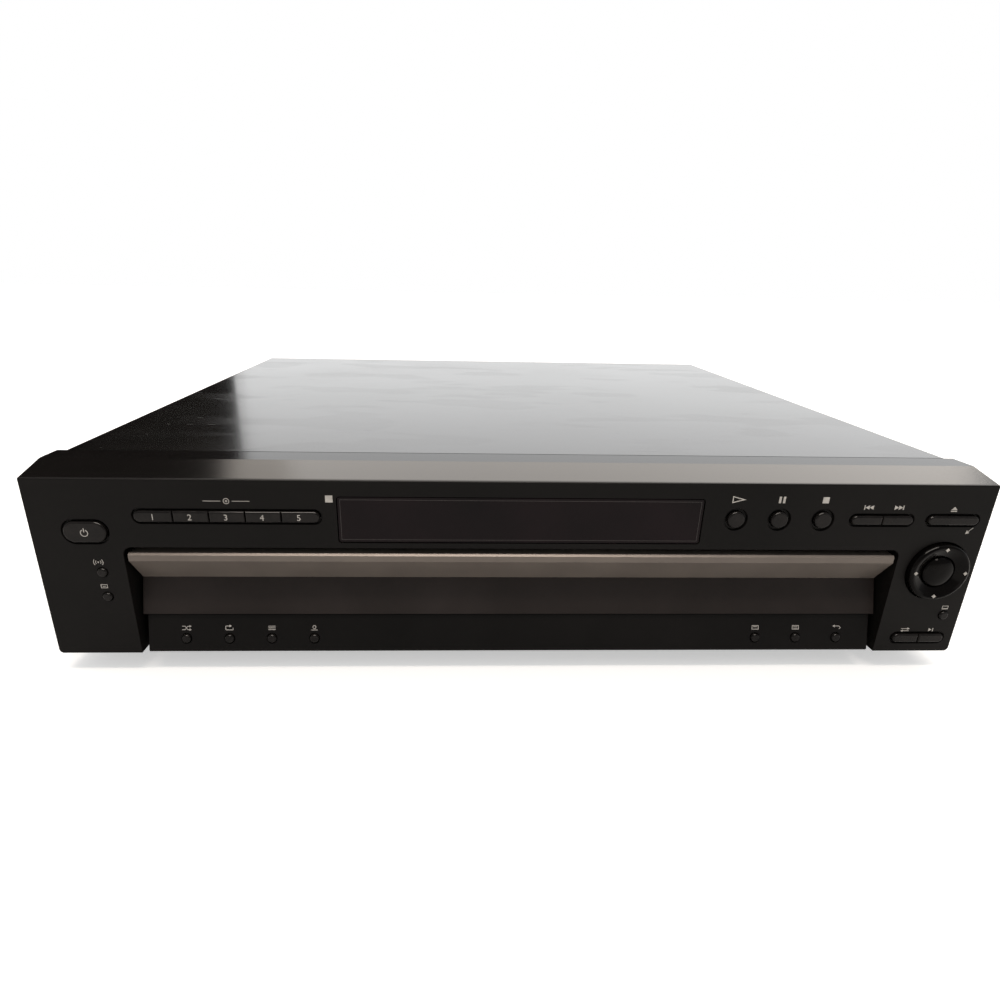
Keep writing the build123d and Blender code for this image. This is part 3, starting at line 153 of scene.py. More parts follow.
finishes = {
    # ABS moulded in a spark-eroded tool: an even fine grain, warm black
    "mouldedAbs": dict(dark="#0e0d0c", light="#151312", patch=70, grain=0.5, relief=0.3, depth=0.04,
                       rough=(0.32, 0.42), sockets={"Specular IOR Level": 0.1},
                       # from this height up, with this roughness and this specular level
                       polished=(95.9, 0.13, 0.5)),
    # ABS with a satin paint, smoother and a little browner than the panel
    "satinAbs": dict(dark="#231e1c", light="#2b2523", patch=45, grain=0.35, relief=0.2, depth=0.03,
                     rough=(0.36, 0.46), sockets={"Specular IOR Level": 0.16}),
    # key caps: moulded ABS, polished a little by fingers
    "keyAbs": dict(dark="#12100f", light="#1b1817", patch=4, grain=0.3, relief=0.12, depth=0.015,
                   rough=(0.09, 0.15), sockets={"Specular IOR Level": 0.17}),
    # gloss ABS straight from a polished tool, with faint wiping marks
    "glossAbs": dict(dark="#060505", light="#0b0908", patch=6, grain=3.0, relief=0.03, depth=0.02,
                     rough=(0.03, 0.06), sockets={"Specular IOR Level": 0.08}),
    # smoked acrylic: almost mirror smooth, wine black in its depth
    "smokedAcrylic": dict(dark="#0c0709", light="#170e11", patch=40, grain=9.0, relief=0.02, depth=0.05,
                          rough=(0.03, 0.07), sockets={"Specular IOR Level": 0.11}),
    # ABS with silver lacquer: fine metal flake under a satin clear coat
    "silverLacquer": dict(dark="#6b635d", light="#736b64", patch=25, grain=0.25, relief=0.25, depth=0.02,
                          rough=(0.34, 0.42), sockets={"Metallic": 0.25, "Specular IOR Level": 0.2}),
    # sheet steel with semi-gloss black paint: slight orange peel, smooth enough to mirror the room
    "blackPaint": dict(dark="#131211", light="#1b1a18", patch=90, grain=1.6, relief=0.1, depth=0.02,
                       rough=(0.13, 0.19),
                       # size, stretch, turn, cut and added roughness of each kind of mark
                       wiped=(
                           (30.0, 2.5, 35, 0.54, 0.05),
                           (1.6, 12, -50, 0.71, 0.12),
                           (1.3, 12, 20, 0.72, 0.12),
                       ),
                       sockets={"Coat Weight": 0.5, "Coat Roughness": 0.1}),
    # zinc plated sheet steel, passivated: grey with cloudy spangle
    "zincPlate": dict(dark="#8f918d", light="#b4b6b0", patch=7, grain=0.8, relief=0.12, depth=0.02,
                      rough=(0.28, 0.46), sockets={"Metallic": 0.9}),
    # deep drawn nickel plated motor can, drawn lines round it
    "drawnCan": dict(dark="#a3a29c", light="#c2c1ba", patch=9, grain=0.7, relief=0.1, depth=0.01,
                     brushed=True, rough=(0.22, 0.34), sockets={"Metallic": 1.0}),
    # black chromated steel screw
    "blackZinc": dict(dark="#161514", light="#2b2927", patch=1.5, grain=0.3, relief=0.2, depth=0.02,
                      rough=(0.3, 0.45), sockets={"Metallic": 0.7}),
    # glass fibre laminate with green solder resist
    "solderResist": dict(dark="#17452a", light="#1f5a36", patch=5, grain=0.9, relief=0.15, depth=0.02,
                         rough=(0.26, 0.4)),
    # black polystyrene mouldings inside, plain tool finish
    "blackStyrene": dict(dark="#181818", light="#232323", patch=30, grain=0.7, relief=0.2, depth=0.04,
                         rough=(0.4, 0.55)),
    # carousel: finely textured ABS
    "texturedAbs": dict(dark="#1b1b1c", light="#262627", patch=50, grain=0.6, relief=0.35, depth=0.06,
                        rough=(0.42, 0.54)),
    # acetal gears and plugs, natural ivory white and waxy
    "naturalAcetal": dict(dark="#cfcdc2", light="#dedcd2", patch=4, grain=0.8, relief=0.08, depth=0.02,
                          rough=(0.3, 0.42), sockets={"Subsurface Weight": 0.05}),
    # moulded rubber of the feet, the belt and the turntable's ring
    "mouldedRubber": dict(dark="#141414", light="#1e1e1e", patch=8, grain=0.4, relief=0.25, depth=0.04,
                          rough=(0.6, 0.75)),
    # painted highlight on the window: a thin, dim grey that stands for the light caught by the window's
    # edge
    "paintedWindowHighlight": dict(dark="#332e2d", light="#3d3836", patch=3, grain=0.25, relief=0.2, depth=0.01,
                      rough=(0.3, 0.4)),
    # nickel plated brass and steel: socket sleeves, guide rods and chip legs
    "nickelPlate": dict(dark="#b3b0a8", light="#c9c6bd", patch=2, grain=0.3, relief=0.05, depth=0.01,
                        rough=(0.15, 0.25), sockets={"Metallic": 1.0}),
    # printed polyester sleeve of a capacitor
    "capacitorSleeve": dict(dark="#17233f", light="#1d2c4d", patch=4, grain=0.4, relief=0.1, depth=0.01,
                            rough=(0.25, 0.35)),
    # extruded and black anodised aluminium
    "anodised": dict(dark="#1b1c1e", light="#27282b", patch=5, grain=0.3, relief=0.12, depth=0.01,
                     brushed=True, rough=(0.35, 0.45), sockets={"Metallic": 0.8}),
    # yellow polyester tape round a transformer's coil
    "coilTape": dict(dark="#a8872c", light="#b89636", patch=6, grain=0.5, relief=0.15, depth=0.02,
                     rough=(0.3, 0.4)),
    # moulded glass lens with a violet coating
    "coatedLens": dict(dark="#241a3a", light="#3a2a58", patch=1, grain=0.6, relief=0.0, depth=0.01,
                       rough=(0.02, 0.05), sockets={"Coat Weight": 1.0, "Coat Roughness": 0.02}),
    # printing ink, pale grey, thin and slightly uneven
    "screenInk": dict(dark="#a8a39c", light="#bdb8b1", patch=3, grain=0.25, relief=0.2, depth=0.01,
                      rough=(0.45, 0.55)),
}
# coloured polypropylene collars of the sockets
jackDyes = {
    "Yellow": ("#c9a227", "#d6b034"),
    "White": ("#cfccc6", "#dddad4"),
    "Red": ("#9c2420", "#ab2e28"),
}
for dye, (dark, light) in jackDyes.items():
    finishes[f"jack{dye}"] = dict(
        dark=dark, light=light, patch=3, grain=0.3, relief=0.1, depth=0.01, rough=(0.35, 0.45)
    )
made = {name: finishOf(name, look) for name, look in finishes.items()}

slotFinish = {
    "panel_plastic": "mouldedAbs",
    "fascia_plastic": "satinAbs",
    "key_plastic": "keyAbs",
    "gloss_plastic": "glossAbs",
    "smoked_acrylic": "smokedAcrylic",
    "display_glass": "smokedAcrylic",
    "silver_plastic": "silverLacquer",
    "painted_steel": "blackPaint",
    "zinc_steel": "zincPlate",
    "motor_steel": "drawnCan",
    "black_screw": "blackZinc",
    "circuit_board": "solderResist",
    "deck_plastic": "blackStyrene",
    "tray_plastic": "blackStyrene",
    "carousel_plastic": "texturedAbs",
    "gear_nylon": "naturalAcetal",
    "unit_plastic": "blackStyrene",
    "pickup_plastic": "blackStyrene",
    "jack_plastic": "blackStyrene",
    "foot_plastic": "mouldedRubber",
    "belt_rubber": "mouldedRubber",
}
for row in frame["record"]["subparts"]:
    mesh = nodes[row["node"]].data
    mesh.materials.clear()
    mesh.materials.append(made[slotFinish[row["material_slot"]]])
print("finishes on every node")


def meshPiece(name, verts, faces, body, finish, smooth=False):
    mesh = bpy.data.meshes.new(name)
    mesh.from_pydata([tuple(v) for v in verts], [], [tuple(f) for f in faces])
    mesh.update()
    mesh.polygons.foreach_set("use_smooth", [smooth] * len(mesh.polygons))
    piece = bpy.data.objects.new(name, mesh)
    bpy.context.scene.collection.objects.link(piece)
    mesh.materials.append(made[finish])
    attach(piece, body)
    return piece


def faceOut(piece):
    # doubles merged, then every face turned outwards
    work = bmesh.new()
    work.from_mesh(piece.data)
    bmesh.ops.remove_doubles(work, verts=work.verts, dist=1e-7)
    bmesh.ops.recalc_face_normals(work, faces=work.faces)
    work.to_mesh(piece.data)
    work.free()


def platesOnFront(name, outlines, frontY, body, finish, thick=0.05):
    # flat plates: each outline (x, z in mm) is copied to a front and a back plane and the two
    # copies are joined by side faces; frontY is a depth, or a function of height where the face leans
    verts, faces = [], []
    for outline in outlines:
        flat = np.array(outline, float) * mm
        ahead = np.roll(flat, -1, axis=0)
        if (flat[:, 0] * ahead[:, 1] - ahead[:, 0] * flat[:, 1]).sum() < 0:
            # by the signed area the outline runs clockwise, so it is turned to face forwards
            flat = flat[::-1]
        start, count = len(verts), len(flat)
        depth = frontY(flat[:, 1]) if callable(frontY) else np.full(count, frontY)
        front = np.stack([flat[:, 0], depth, flat[:, 1]], -1)
        back = front + np.array([0, thick * mm, 0])
        verts += list(front) + list(back)
        middle, end = start + count, start + 2 * count
        faces += [list(range(start, middle)), list(range(end - 1, middle - 1, -1))]
        for i in range(count):
            j = (i + 1) % count
            faces.append([start + i, middle + i, middle + j, start + j])
    return meshPiece(name, verts, faces, body, finish)


# places on the front, in mm: x across, z up; the face plane is the panel's lowest Y
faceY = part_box("front_panel")[0].y
apronLook = {"lowZ": 11.2, "highZ": 27.7, "lowDepth": 0.3, "lean": 5.0}


def apronY(z):
    # the lower panel leans back as it rises: its depth grows evenly from lowZ to highZ
    share = (z / mm - apronLook["lowZ"]) / (apronLook["highZ"] - apronLook["lowZ"])
    return faceY + (apronLook["lowDepth"] + apronLook["lean"] * share) * mm


def rectangle(x, z, width, height):
    w, h = width / 2, height / 2
    return [(x - w, z - h), (x + w, z - h), (x + w, z + h), (x - w, z + h)]


def arrowHead(x, z, width, height, way=1):
    reach, rise = way * width / 2, height / 2
    return [(x - reach, z - rise), (x + reach, z), (x - reach, z + rise)]


def stroke(points, width):
    # a line of straight runs drawn as one quad a run
    quads = []
    for (x0, z0), (x1, z1) in zip(points[:-1], points[1:]):
        run = math.hypot(x1 - x0, z1 - z0)
        sx, sz = -(z1 - z0) / run * width / 2, (x1 - x0) / run * width / 2
        quads.append([(x0 - sx, z0 - sz), (x1 - sx, z1 - sz), (x1 + sx, z1 + sz), (x0 + sx, z0 + sz)])
    return quads


def arcBand(x, z, radius, width, start=0, end=360, count=28):
    # part of a ring, from start to end degrees
    a = np.radians(np.linspace(start, end, count))
    outer = np.stack([x + radius * np.cos(a), z + radius * np.sin(a)], -1)
    inner = np.stack([x + (radius - width) * np.cos(a), z + (radius - width) * np.sin(a)], -1)
    return [[outer[i], outer[i + 1], inner[i + 1], inner[i]] for i in range(count - 1)]


def openArrow(x, z, width, height, line):
    # an arrow head drawn in outline: the inner triangle is the outer one drawn in towards the
    # centre of its inscribed circle, by the line's width
    tips = np.array(arrowHead(x, z, width, height))
    sides = np.linalg.norm(np.roll(tips, -1, 0) - np.roll(tips, 1, 0), axis=1)
    centre = (tips * sides[:, None]).sum(0) / sides.sum()
    circle = width * height / sides.sum()
    inner = centre + (tips - centre) * (circle - line) / circle
    return [[tips[i], tips[(i + 1) % 3], inner[(i + 1) % 3], inner[i]] for i in range(3)]


symbolLook = {
    "thick": 0.04, "proud": 0.03, "line": 0.42, "fine": 0.28, "hair": 0.2,
    "playX": 96.9, "pauseX": 116.4, "stopX": 136.4, "rowZ": 88.5,
    "previousX": 157.2, "nextX": 170.8, "skipZ": 85.2,
    "ejectX": 196.9, "ejectZ": 85.0,
    "sensorX": -84.8, "sensorZ": 87.5, "sensorSize": 3.2,
    "discX": -129.0, "discZ": 86.2, "discR": 1.35, "discHoleR": 0.5,
    "columnScreen": (3.0, 1.9), "apronScreen": (3.4, 2.0),
}
# the middle of each small sign beside its key
signPlaces = {
    "surround": (-188.6, 57.0), "picture": (-188.2, 45.1), "display": (207.1, 34.3),
    "exchange": (190.4, 22.1), "nextDisc": (203.6, 22.1), "enter": (206.9, 74.1),
    "shuffle": (-156.3, 21.5), "repeat": (-136.2, 21.5), "program": (-116.4, 21.5), "load": (-96.4, 21.5),
    "title": (117.4, 21.5), "menu": (137.5, 21.5), "return": (157.8, 21.5),
}
look = symbolLook
fine, hair = look["fine"], look["hair"]


def pauseSign(x, z):
    return [rectangle(x + s * 0.95, z, 1.05, 3.1) for s in (-1, 1)]


def skipSign(x, z, way):
    # two arrow heads against a bar
    heads = [arrowHead(x + s * 0.95, z, 1.9, 2.1, way) for s in (-1, 1)]
    return heads + [rectangle(x + way * 2.2, z, 0.45, 2.1)]


def ejectSign(x, z):
    # an arrow head that points up, over a bar
    head = [(x - side, z + up) for up, side in arrowHead(0, 0, 1.5, 2.9)]
    return [head, rectangle(x, z - 1.35, 2.9, 0.5)]


def discSign(x, z):
    # a disc over the row of disc keys, between two short rules
    disc = arcBand(x, z, look["discR"], fine) + arcBand(x, z, look["discHoleR"], 0.25, count=16)
    return disc + [rectangle(x + s * 6.2, z, 7.6, 0.22) for s in (-1, 1)]


def surroundSign(x, z):
    # a dot between two pairs of arcs
    sign = [rectangle(x, z, 0.6, 0.6)]
    for way in (0, 180):
        for radius in (1.3, 2.2):
            sign += arcBand(x, z, radius, fine, way - 40, way + 40, 10)
    return sign


def screenSign(x, z, size, rules, line=fine):
    # a frame of four rules that meet without overlapping, and rules in it: height above the middle,
    # length and thickness
    width, height = size
    sign = [rectangle(x, z + s * (height - line) / 2, width, line) for s in (-1, 1)]
    sign += [rectangle(x + s * (width - line) / 2, z, line, height - 2 * line) for s in (-1, 1)]
    return sign + [rectangle(x, z + up, length, thick) for up, length, thick in rules]


def exchangeSign(x, z):
    # two arrows one over the other, pointing apart
    sign = []
    for way in (1, -1):
        level = z + way * 0.6
        sign += stroke([(x - way * 2.0, level), (x + way * 1.0, level)], fine)
        sign.append(arrowHead(x + way * 1.6, level, 1.2, 1.2, way))
    return sign


def nextDiscSign(x, z):
    return [arrowHead(x - 0.6, z, 1.6, 1.8), rectangle(x + 0.7, z, 0.4, 1.8)]


def enterSign(x, z):
    # an arrow that points down to the ring
    head = [(x - 1.5, z - 1.5), (x + 0.3, z - 1.1), (x - 1.1, z + 0.3)]
    return stroke([(x + 1.5, z + 1.5), (x - 0.7, z - 0.7)], fine) + [head]


def shuffleSign(x, z):
    # two arrows that cross
    sign = []
    for s in (-0.8, 0.8):
        sign += stroke([(x - 2.0, z + s), (x - 0.6, z + s), (x + 0.6, z - s), (x + 1.4, z - s)], fine)
        sign.append(arrowHead(x + 1.9, z + s, 1.0, 1.1))
    return sign


def repeatSign(x, z):
    # an open loop
    loop = [(x + 1.6, z), (x + 1.6, z - 0.9), (x - 1.8, z - 0.9), (x - 1.8, z + 0.9), (x, z + 0.9)]
    return stroke(loop, fine) + [arrowHead(x + 0.5, z + 0.9, 1.1, 1.2)]


def programSign(x, z):
    return [rectangle(x, z + s * 0.8, 3.4, fine) for s in (-1, 0, 1)]


def loadSign(x, z):
    # a disc over a bar
    return arcBand(x, z + 0.35, 0.85, fine, count=20) + [rectangle(x, z - 1.0, 3.0, fine)]


def returnSign(x, z):
    # a hooked arrow
    hook = [(x + 1.6, z - 0.8), (x + 2.4, z - 0.2), (x + 1.6, z + 0.6), (x - 0.6, z + 0.6)]
    return stroke(hook, fine) + [arrowHead(x - 1.1, z + 0.6, 1.1, 1.3, -1)]


transport = openArrow(look["playX"], look["rowZ"], 6.2, 3.3, look["line"])
transport += pauseSign(look["pauseX"], look["rowZ"])
transport += [rectangle(look["stopX"], look["rowZ"], 2.9, 2.9)]
transport += skipSign(look["previousX"], look["skipZ"], -1)
transport += skipSign(look["nextX"], look["skipZ"], 1)
transport += ejectSign(look["ejectX"], look["ejectZ"])
transport += discSign(look["discX"], look["discZ"])
columnSigns = (
    surroundSign(*signPlaces["surround"])
    + screenSign(*signPlaces["picture"], look["columnScreen"], [(0.0, 1.4, fine)])
    + screenSign(*signPlaces["display"], look["columnScreen"], [(-0.5, 2.0, fine)])
    + exchangeSign(*signPlaces["exchange"])
    + nextDiscSign(*signPlaces["nextDisc"])
    + enterSign(*signPlaces["enter"])
)
apronSigns = (
    shuffleSign(*signPlaces["shuffle"])
    + repeatSign(*signPlaces["repeat"])
    + programSign(*signPlaces["program"])
    + loadSign(*signPlaces["load"])
    + screenSign(*signPlaces["title"], look["apronScreen"], [(0.3, 2.0, fine)])
    + screenSign(*signPlaces["menu"], look["apronScreen"], [(-0.35, 2.0, hair), (0.35, 2.0, hair)])
    + returnSign(*signPlaces["return"])
)
sensor = [rectangle(look["sensorX"], look["sensorZ"], look["sensorSize"], look["sensorSize"])]
inkY = faceY - look["proud"] * mm


def panelPrint(name, outlines, frontY=inkY):
    platesOnFront(name, outlines, frontY, "case", "screenInk", thick=look["thick"])


panelPrint("transport_symbols", transport)
panelPrint("column_symbols", columnSigns)
panelPrint("apron_symbols", apronSigns, lambda z: apronY(z) - look["proud"] * mm)
panelPrint("sensor_mark", sensor)

powerLook = {"x": -191.4, "z": 71.4, "radius": 1.7, "line": 0.35, "barZ": 72.7, "bar": 1.9, "proud": 0.02}
powerSign = arcBand(powerLook["x"], powerLook["z"], powerLook["radius"], powerLook["line"], 115, 425)
powerSign += [rectangle(powerLook["x"], powerLook["barZ"], powerLook["line"], powerLook["bar"])]
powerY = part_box("power_button")[0].y - powerLook["proud"] * mm
platesOnFront(
    "power_symbol", powerSign, powerY, "power_button", "screenInk", thick=look["thick"]
)


def numeral(name, text, height, thick, body, finish, placeOf):
    # a digit from the built-in font made a mesh, scaled to its height; placeOf takes its flat x, y
    # and depth in metres and gives the points where they belong
    curve = bpy.data.curves.new(name, "FONT")
    curve.body, curve.align_x, curve.extrude, curve.resolution_u = text, "CENTER", 0.5, 5
    maker = bpy.data.objects.new(name + "_maker", curve)
    bpy.context.scene.collection.objects.link(maker)
    bpy.context.view_layer.update()
    mesh = bpy.data.meshes.new_from_object(maker.evaluated_get(bpy.context.evaluated_depsgraph_get()))
    bpy.data.objects.remove(maker)
    mesh.name = name
    co = np.zeros(len(mesh.vertices) * 3)
    mesh.vertices.foreach_get("co", co)
    co = co.reshape(-1, 3)
    size = height * mm / np.ptp(co[:, 1])
    flat = (co[:, :2] - (co[:, :2].max(0) + co[:, :2].min(0)) / 2) * size
    depth = np.sign(co[:, 2]) * thick * mm / 2
    mesh.vertices.foreach_set("co", placeOf(flat[:, 0], flat[:, 1], depth).ravel())
    mesh.materials.clear()
    mesh.materials.append(made[finish])
    piece = bpy.data.objects.new(name, mesh)
    bpy.context.scene.collection.objects.link(piece)
    faceOut(piece)
    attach(piece, body)
    return piece


discNumerals = {
    "xs": (-161.0, -145.2, -129.7, -114.1, -98.2), "z": 79.0, "height": 2.7, "thick": 0.04, "proud": 0.01,
}
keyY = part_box("disc_key_1")[0].y - discNumerals["proud"] * mm
for count, x in enumerate(discNumerals["xs"], 1):
    numeral(
        f"numeral_{count}", str(count), discNumerals["height"], discNumerals["thick"],
        f"disc_key_{count}", "screenInk",
        lambda u, v, w, x=x: np.stack([u + x * mm, keyY - w, v + discNumerals["z"] * mm], -1),
    )

# big numerals printed on the lands between the pockets, reading from the rim
pocketNumerals = {
    "radius": 148.0, "height": 9.0, "thick": 0.3, "proud": 0.06, "first": 54.0, "step": 72.0, "capR": 17.0,
}
tableLow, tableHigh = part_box("carousel")
tableX = (tableLow.x + tableHigh.x) / 2
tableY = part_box("carousel_cap")[0].y + pocketNumerals["capR"] * mm
numeralZ = tableHigh.z + pocketNumerals["proud"] * mm
for count in range(5):
    angle = math.radians(pocketNumerals["first"] - count * pocketNumerals["step"])

    def onTable(u, v, w, angle=angle):
        # the digit's up points to the hub, so it reads from the rim
        ca, sa = math.cos(angle), math.sin(angle)
        r = pocketNumerals["radius"] * mm - v
        return np.stack([tableX + r * ca - u * sa, tableY + r * sa + u * ca, numeralZ + w], -1)

    numeral(
        f"pocket_numeral_{count + 1}", str(count + 1), pocketNumerals["height"], pocketNumerals["thick"],
        "table", "screenInk", onTable,
    )

# four diamonds on the cursor ring
diamondLook = {"radius": 11.9, "size": 0.95, "thick": 0.3, "proud": 0.02}
ringLow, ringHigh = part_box("cursor_ring")
ringX, ringZ = (ringLow.x + ringHigh.x) / 2 / mm, (ringLow.z + ringHigh.z) / 2 / mm
diamonds = []
for way in range(4):
    a = way * math.pi / 2
    x, z = ringX + diamondLook["radius"] * math.cos(a), ringZ + diamondLook["radius"] * math.sin(a)
    s = diamondLook["size"]
    diamonds.append([(x - s, z), (x, z - s), (x + s, z), (x, z + s)])
platesOnFront(
    "cursor_diamonds", diamonds, ringLow.y - diamondLook["proud"] * mm,
    "cursor_ring", "screenInk", thick=diamondLook["thick"],
)

# painted highlight: a fine rule round the display, on the window, that stands for the light caught by the
# window's edge
windowHighlightLook = {"z": 77.7, "size": (160.6, 18.9), "line": 0.16, "thick": 0.03, "proud": 0.01}
paintedWindowEdge = screenSign(0, windowHighlightLook["z"], windowHighlightLook["size"], [], windowHighlightLook["line"])
platesOnFront(
    "window_painted_highlight", paintedWindowEdge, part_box("display_window")[0].y - windowHighlightLook["proud"] * mm,
    "case", "paintedWindowHighlight", thick=windowHighlightLook["thick"],
)
print("prints on the front")


def turned(name, profile, placings, body, finish, steps=48):
    # a profile of (radius, height) in mm turned about Z, then put in each of its places by a matrix
    prof = np.array(profile, float) * mm
    a = np.linspace(0, 2 * math.pi, steps, endpoint=False)
    height = np.broadcast_to(prof[:, 1:], (len(prof), steps))
    one = np.stack([prof[:, :1] * np.cos(a), prof[:, :1] * np.sin(a), height], -1).reshape(-1, 3)
    r, c = np.arange(len(prof) - 1)[:, None], np.arange(steps)[None, :]
    n = (c + 1) % steps
    quads = [r * steps + c, r * steps + n, (r + 1) * steps + n, (r + 1) * steps + c]
    quads = np.stack(quads, -1).reshape(-1, 4)
    verts, faces = [], []
    for placing in placings:
        faces += (quads + len(verts)).tolist()
        turnPart, shift = np.array(placing.to_3x3()), np.array(placing.translation)
        verts += list(one @ turnPart.T + shift)
    piece = meshPiece(name, verts, faces, body, finish, smooth=True)
    faceOut(piece)
    piece.data.set_sharp_from_angle(angle=math.radians(35))
    return piece


def blocks(name, boxes, body, finish, edge):
    # boxes given by two opposite corners in mm, joined in one piece, with their edges broken by edge
    work = bmesh.new()
    for low, high in boxes:
        low, high = np.minimum(low, high), np.maximum(low, high)
        middle, size = Vector((low + high) / 2 * mm), (high - low) * mm
        place = Matrix.Translation(middle) @ Matrix.Diagonal((*size, 1.0))
        bmesh.ops.create_cube(work, size=1.0, matrix=place)
    bmesh.ops.bevel(work, geom=work.edges[:], offset=edge * mm, segments=2, affect="EDGES", profile=0.5)
    mesh = bpy.data.meshes.new(name)
    work.to_mesh(mesh)
    work.free()
    mesh.materials.append(made[finish])
    piece = bpy.data.objects.new(name, mesh)
    bpy.context.scene.collection.objects.link(piece)
    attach(piece, body)
    return piece


# the cover's sides are folded in round the rear panel
hemLook = {"sheet": 0.8, "lap": 6.0, "gap": 0.1, "above": 0.5, "below": 5.4, "edge": 0.15}
coverLow, coverHigh = (np.array(corner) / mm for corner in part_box("top_cover"))
rearHigh = np.array(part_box("rear_panel")[1]) / mm
hemY = rearHigh[1] + hemLook["gap"]
hems = []
for side in (-1, 1):
    outer = side * (coverHigh[0] - hemLook["sheet"])
    inner = side * (rearHigh[0] - hemLook["lap"])
    low = (outer, hemY, coverLow[2] + hemLook["above"])
    hems.append((low, (inner, hemY + hemLook["sheet"], coverHigh[2] - hemLook["below"])))
blocks("cover_hems", hems, "case", "blackPaint", hemLook["edge"])

# the sockets at the rear: coloured collars on the panel and plated sleeves on the barrels
jackLook = {
    "columns": (-120, -104, -88, -72, -56), "rows": (77.5, 89.5), "barrel": 4.15,
    "collarIn": 0.2, "collarR": 5.9, "collarTopR": 5.5, "collarSide": 0.8, "collarTop": 1.1,
    "sleeveGap": 0.02, "sleeveOut": 0.12, "sleeveStart": 1.2, "sleeveRound": 0.1,
}
jackColours = {"Yellow": (0,), "White": (1, 3), "Red": (2, 4)}
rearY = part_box("rear_panel")[1].y
sleeveRun = (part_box("av_jacks")[1].y - rearY) / mm
facingBack = Matrix.Rotation(math.radians(-90), 4, "X")


def jackSpots(columns):
    spots = [(jackLook["columns"][c] * mm, rearY, z * mm) for c in columns for z in jackLook["rows"]]
    return [Matrix.Translation(spot) @ facingBack for spot in spots]


barrel, gap = jackLook["barrel"], jackLook["sleeveGap"]
bore, outside = barrel + jackLook["collarIn"], jackLook["collarR"]
collar = [
    (bore, gap), (outside, gap), (outside, jackLook["collarSide"]),
    (jackLook["collarTopR"], jackLook["collarTop"]), (bore, jackLook["collarTop"]), (bore, gap),
]
for dye, columns in jackColours.items():
    turned(f"jack_collars_{dye.lower()}", collar, jackSpots(columns), "case", f"jack{dye}")
inside, outside, start = barrel + gap, barrel + jackLook["sleeveOut"], jackLook["sleeveStart"]
sleeve = [
    (inside, start), (outside, start), (outside, sleeveRun - jackLook["sleeveRound"]),
    (inside, sleeveRun - gap), (inside, start),
]
turned("jack_sleeves", sleeve, jackSpots(range(5)), "case", "nickelPlate")

# the drive hangs down from its hinge at rest; its own axes: across, along the rods and up from the plate
driveLook = {
    "tilt": 9.5, "hingeY": 176.5, "hingeZ": 40.0, "seat": 18.0, "spindleAlong": -80.0,
    "lensAlong": -57.0, "lensUp": 16.2, "rodAcross": 27.0, "rodAlong": -95.0, "rodUp": 0.5,
    # profiles of (radius, height) in mm
    "rubber": ((9.0, -0.1), (13.6, -0.1), (13.6, 0.1), (13.4, 0.2), (9.2, 0.2), (9.0, 0.1), (9.0, -0.1)),
    "lens": ((0, -0.05), (2.1, -0.05), (2.1, 0.05), (1.6, 0.3), (0.9, 0.45), (0, 0.5)),
    "plating": ((1.505, 2.5), (1.535, 2.5), (1.535, 82.0), (1.505, 82.0), (1.505, 2.5)),
}
hinge = Matrix.Translation((0, driveLook["hingeY"] * mm, driveLook["hingeZ"] * mm))
driveAxes = hinge @ Matrix.Rotation(math.radians(driveLook["tilt"]), 4, "X")


def onDrive(across, along, up):
    return driveAxes @ Matrix.Translation((across * mm, along * mm, up * mm))


spindlePlace = onDrive(0, driveLook["spindleAlong"], driveLook["seat"])
turned(
    "turntable_rubber", driveLook["rubber"], [spindlePlace], "spindle", "mouldedRubber", 64
)
lensPlace = onDrive(0, driveLook["lensAlong"], driveLook["lensUp"])
turned("lens", driveLook["lens"], [lensPlace], "pickup", "coatedLens")
rodPlaces = [
    onDrive(side * driveLook["rodAcross"], driveLook["rodAlong"], driveLook["rodUp"]) @ facingBack
    for side in (-1, 1)
]
turned("guide_rod_plating", driveLook["plating"], rodPlaces, "drive", "nickelPlate", 32)
print("rear sockets and drive details")

# parts on the two boards: legs round the chips, plugs, capacitor sleeves, a coil and a finned heat sink
boardLook = {
    "mainTop": 75.6, "powerTop": 20.9,
    # x, y and size of each chip, and the legs along each of its sides
    "chips": ((-70, 150, 28), (-115, 145, 28)), "legs": 22, "legWidth": 0.45, "legReach": 1.4,
    "legThick": 0.6, "legEdge": 0.05,
    # x, y and length of each plug
    "plugs": ((-150, 160, 16), (-20, 118, 24), (15, 118, 16), (-95, 118, 20)),
    "plugHeight": 5.5, "plugWidth": 5.6, "plugEdge": 0.3,
    "smallCans": ((5, 170), (18, 170), (31, 170), (-150, 130)), "smallR": 4.0, "smallHeight": 11.0,
    "bigCans": ((194, 110), (194, 140)), "bigR": 9.0, "bigHeight": 30.0,
    "coil": (194, 60), "coilHalf": (11.4, 9.0), "coilLow": 1.0, "coilHigh": 24.4, "coilEdge": 0.8,
    "sink": (194, 20), "fins": 8, "sinkLength": 32.0, "finHalf": 0.6, "finIn": 1.5, "finOut": 8.5,
    "finLow": 0.6, "finHigh": 23.6, "finEdge": 0.2,
}


def onBoard(name, boxes, finish, edge):
    blocks(name, boxes, "case", finish, edge)


mainTop, powerTop = boardLook["mainTop"], boardLook["powerTop"]
legs = []
half, legTop = boardLook["legWidth"] / 2, mainTop + boardLook["legThick"]
for x, y, size in boardLook["chips"]:
    pitch = size / (boardLook["legs"] + 1)
    for count in range(boardLook["legs"]):
        run = (count + 1) * pitch - size / 2
        for side in (-1, 1):
            near, far = side * size / 2, side * (size / 2 + boardLook["legReach"])
            legs.append(((x + run - half, y + near, mainTop), (x + run + half, y + far, legTop)))
            legs.append(((x + near, y + run - half, mainTop), (x + far, y + run + half, legTop)))
onBoard("chip_legs", legs, "nickelPlate", boardLook["legEdge"])
half, plugTop = boardLook["plugWidth"] / 2, mainTop + boardLook["plugHeight"]
plugs = [
    ((x - length / 2, y - half, mainTop), (x + length / 2, y + half, plugTop))
    for x, y, length in boardLook["plugs"]
]
onBoard("board_plugs", plugs, "naturalAcetal", boardLook["plugEdge"])


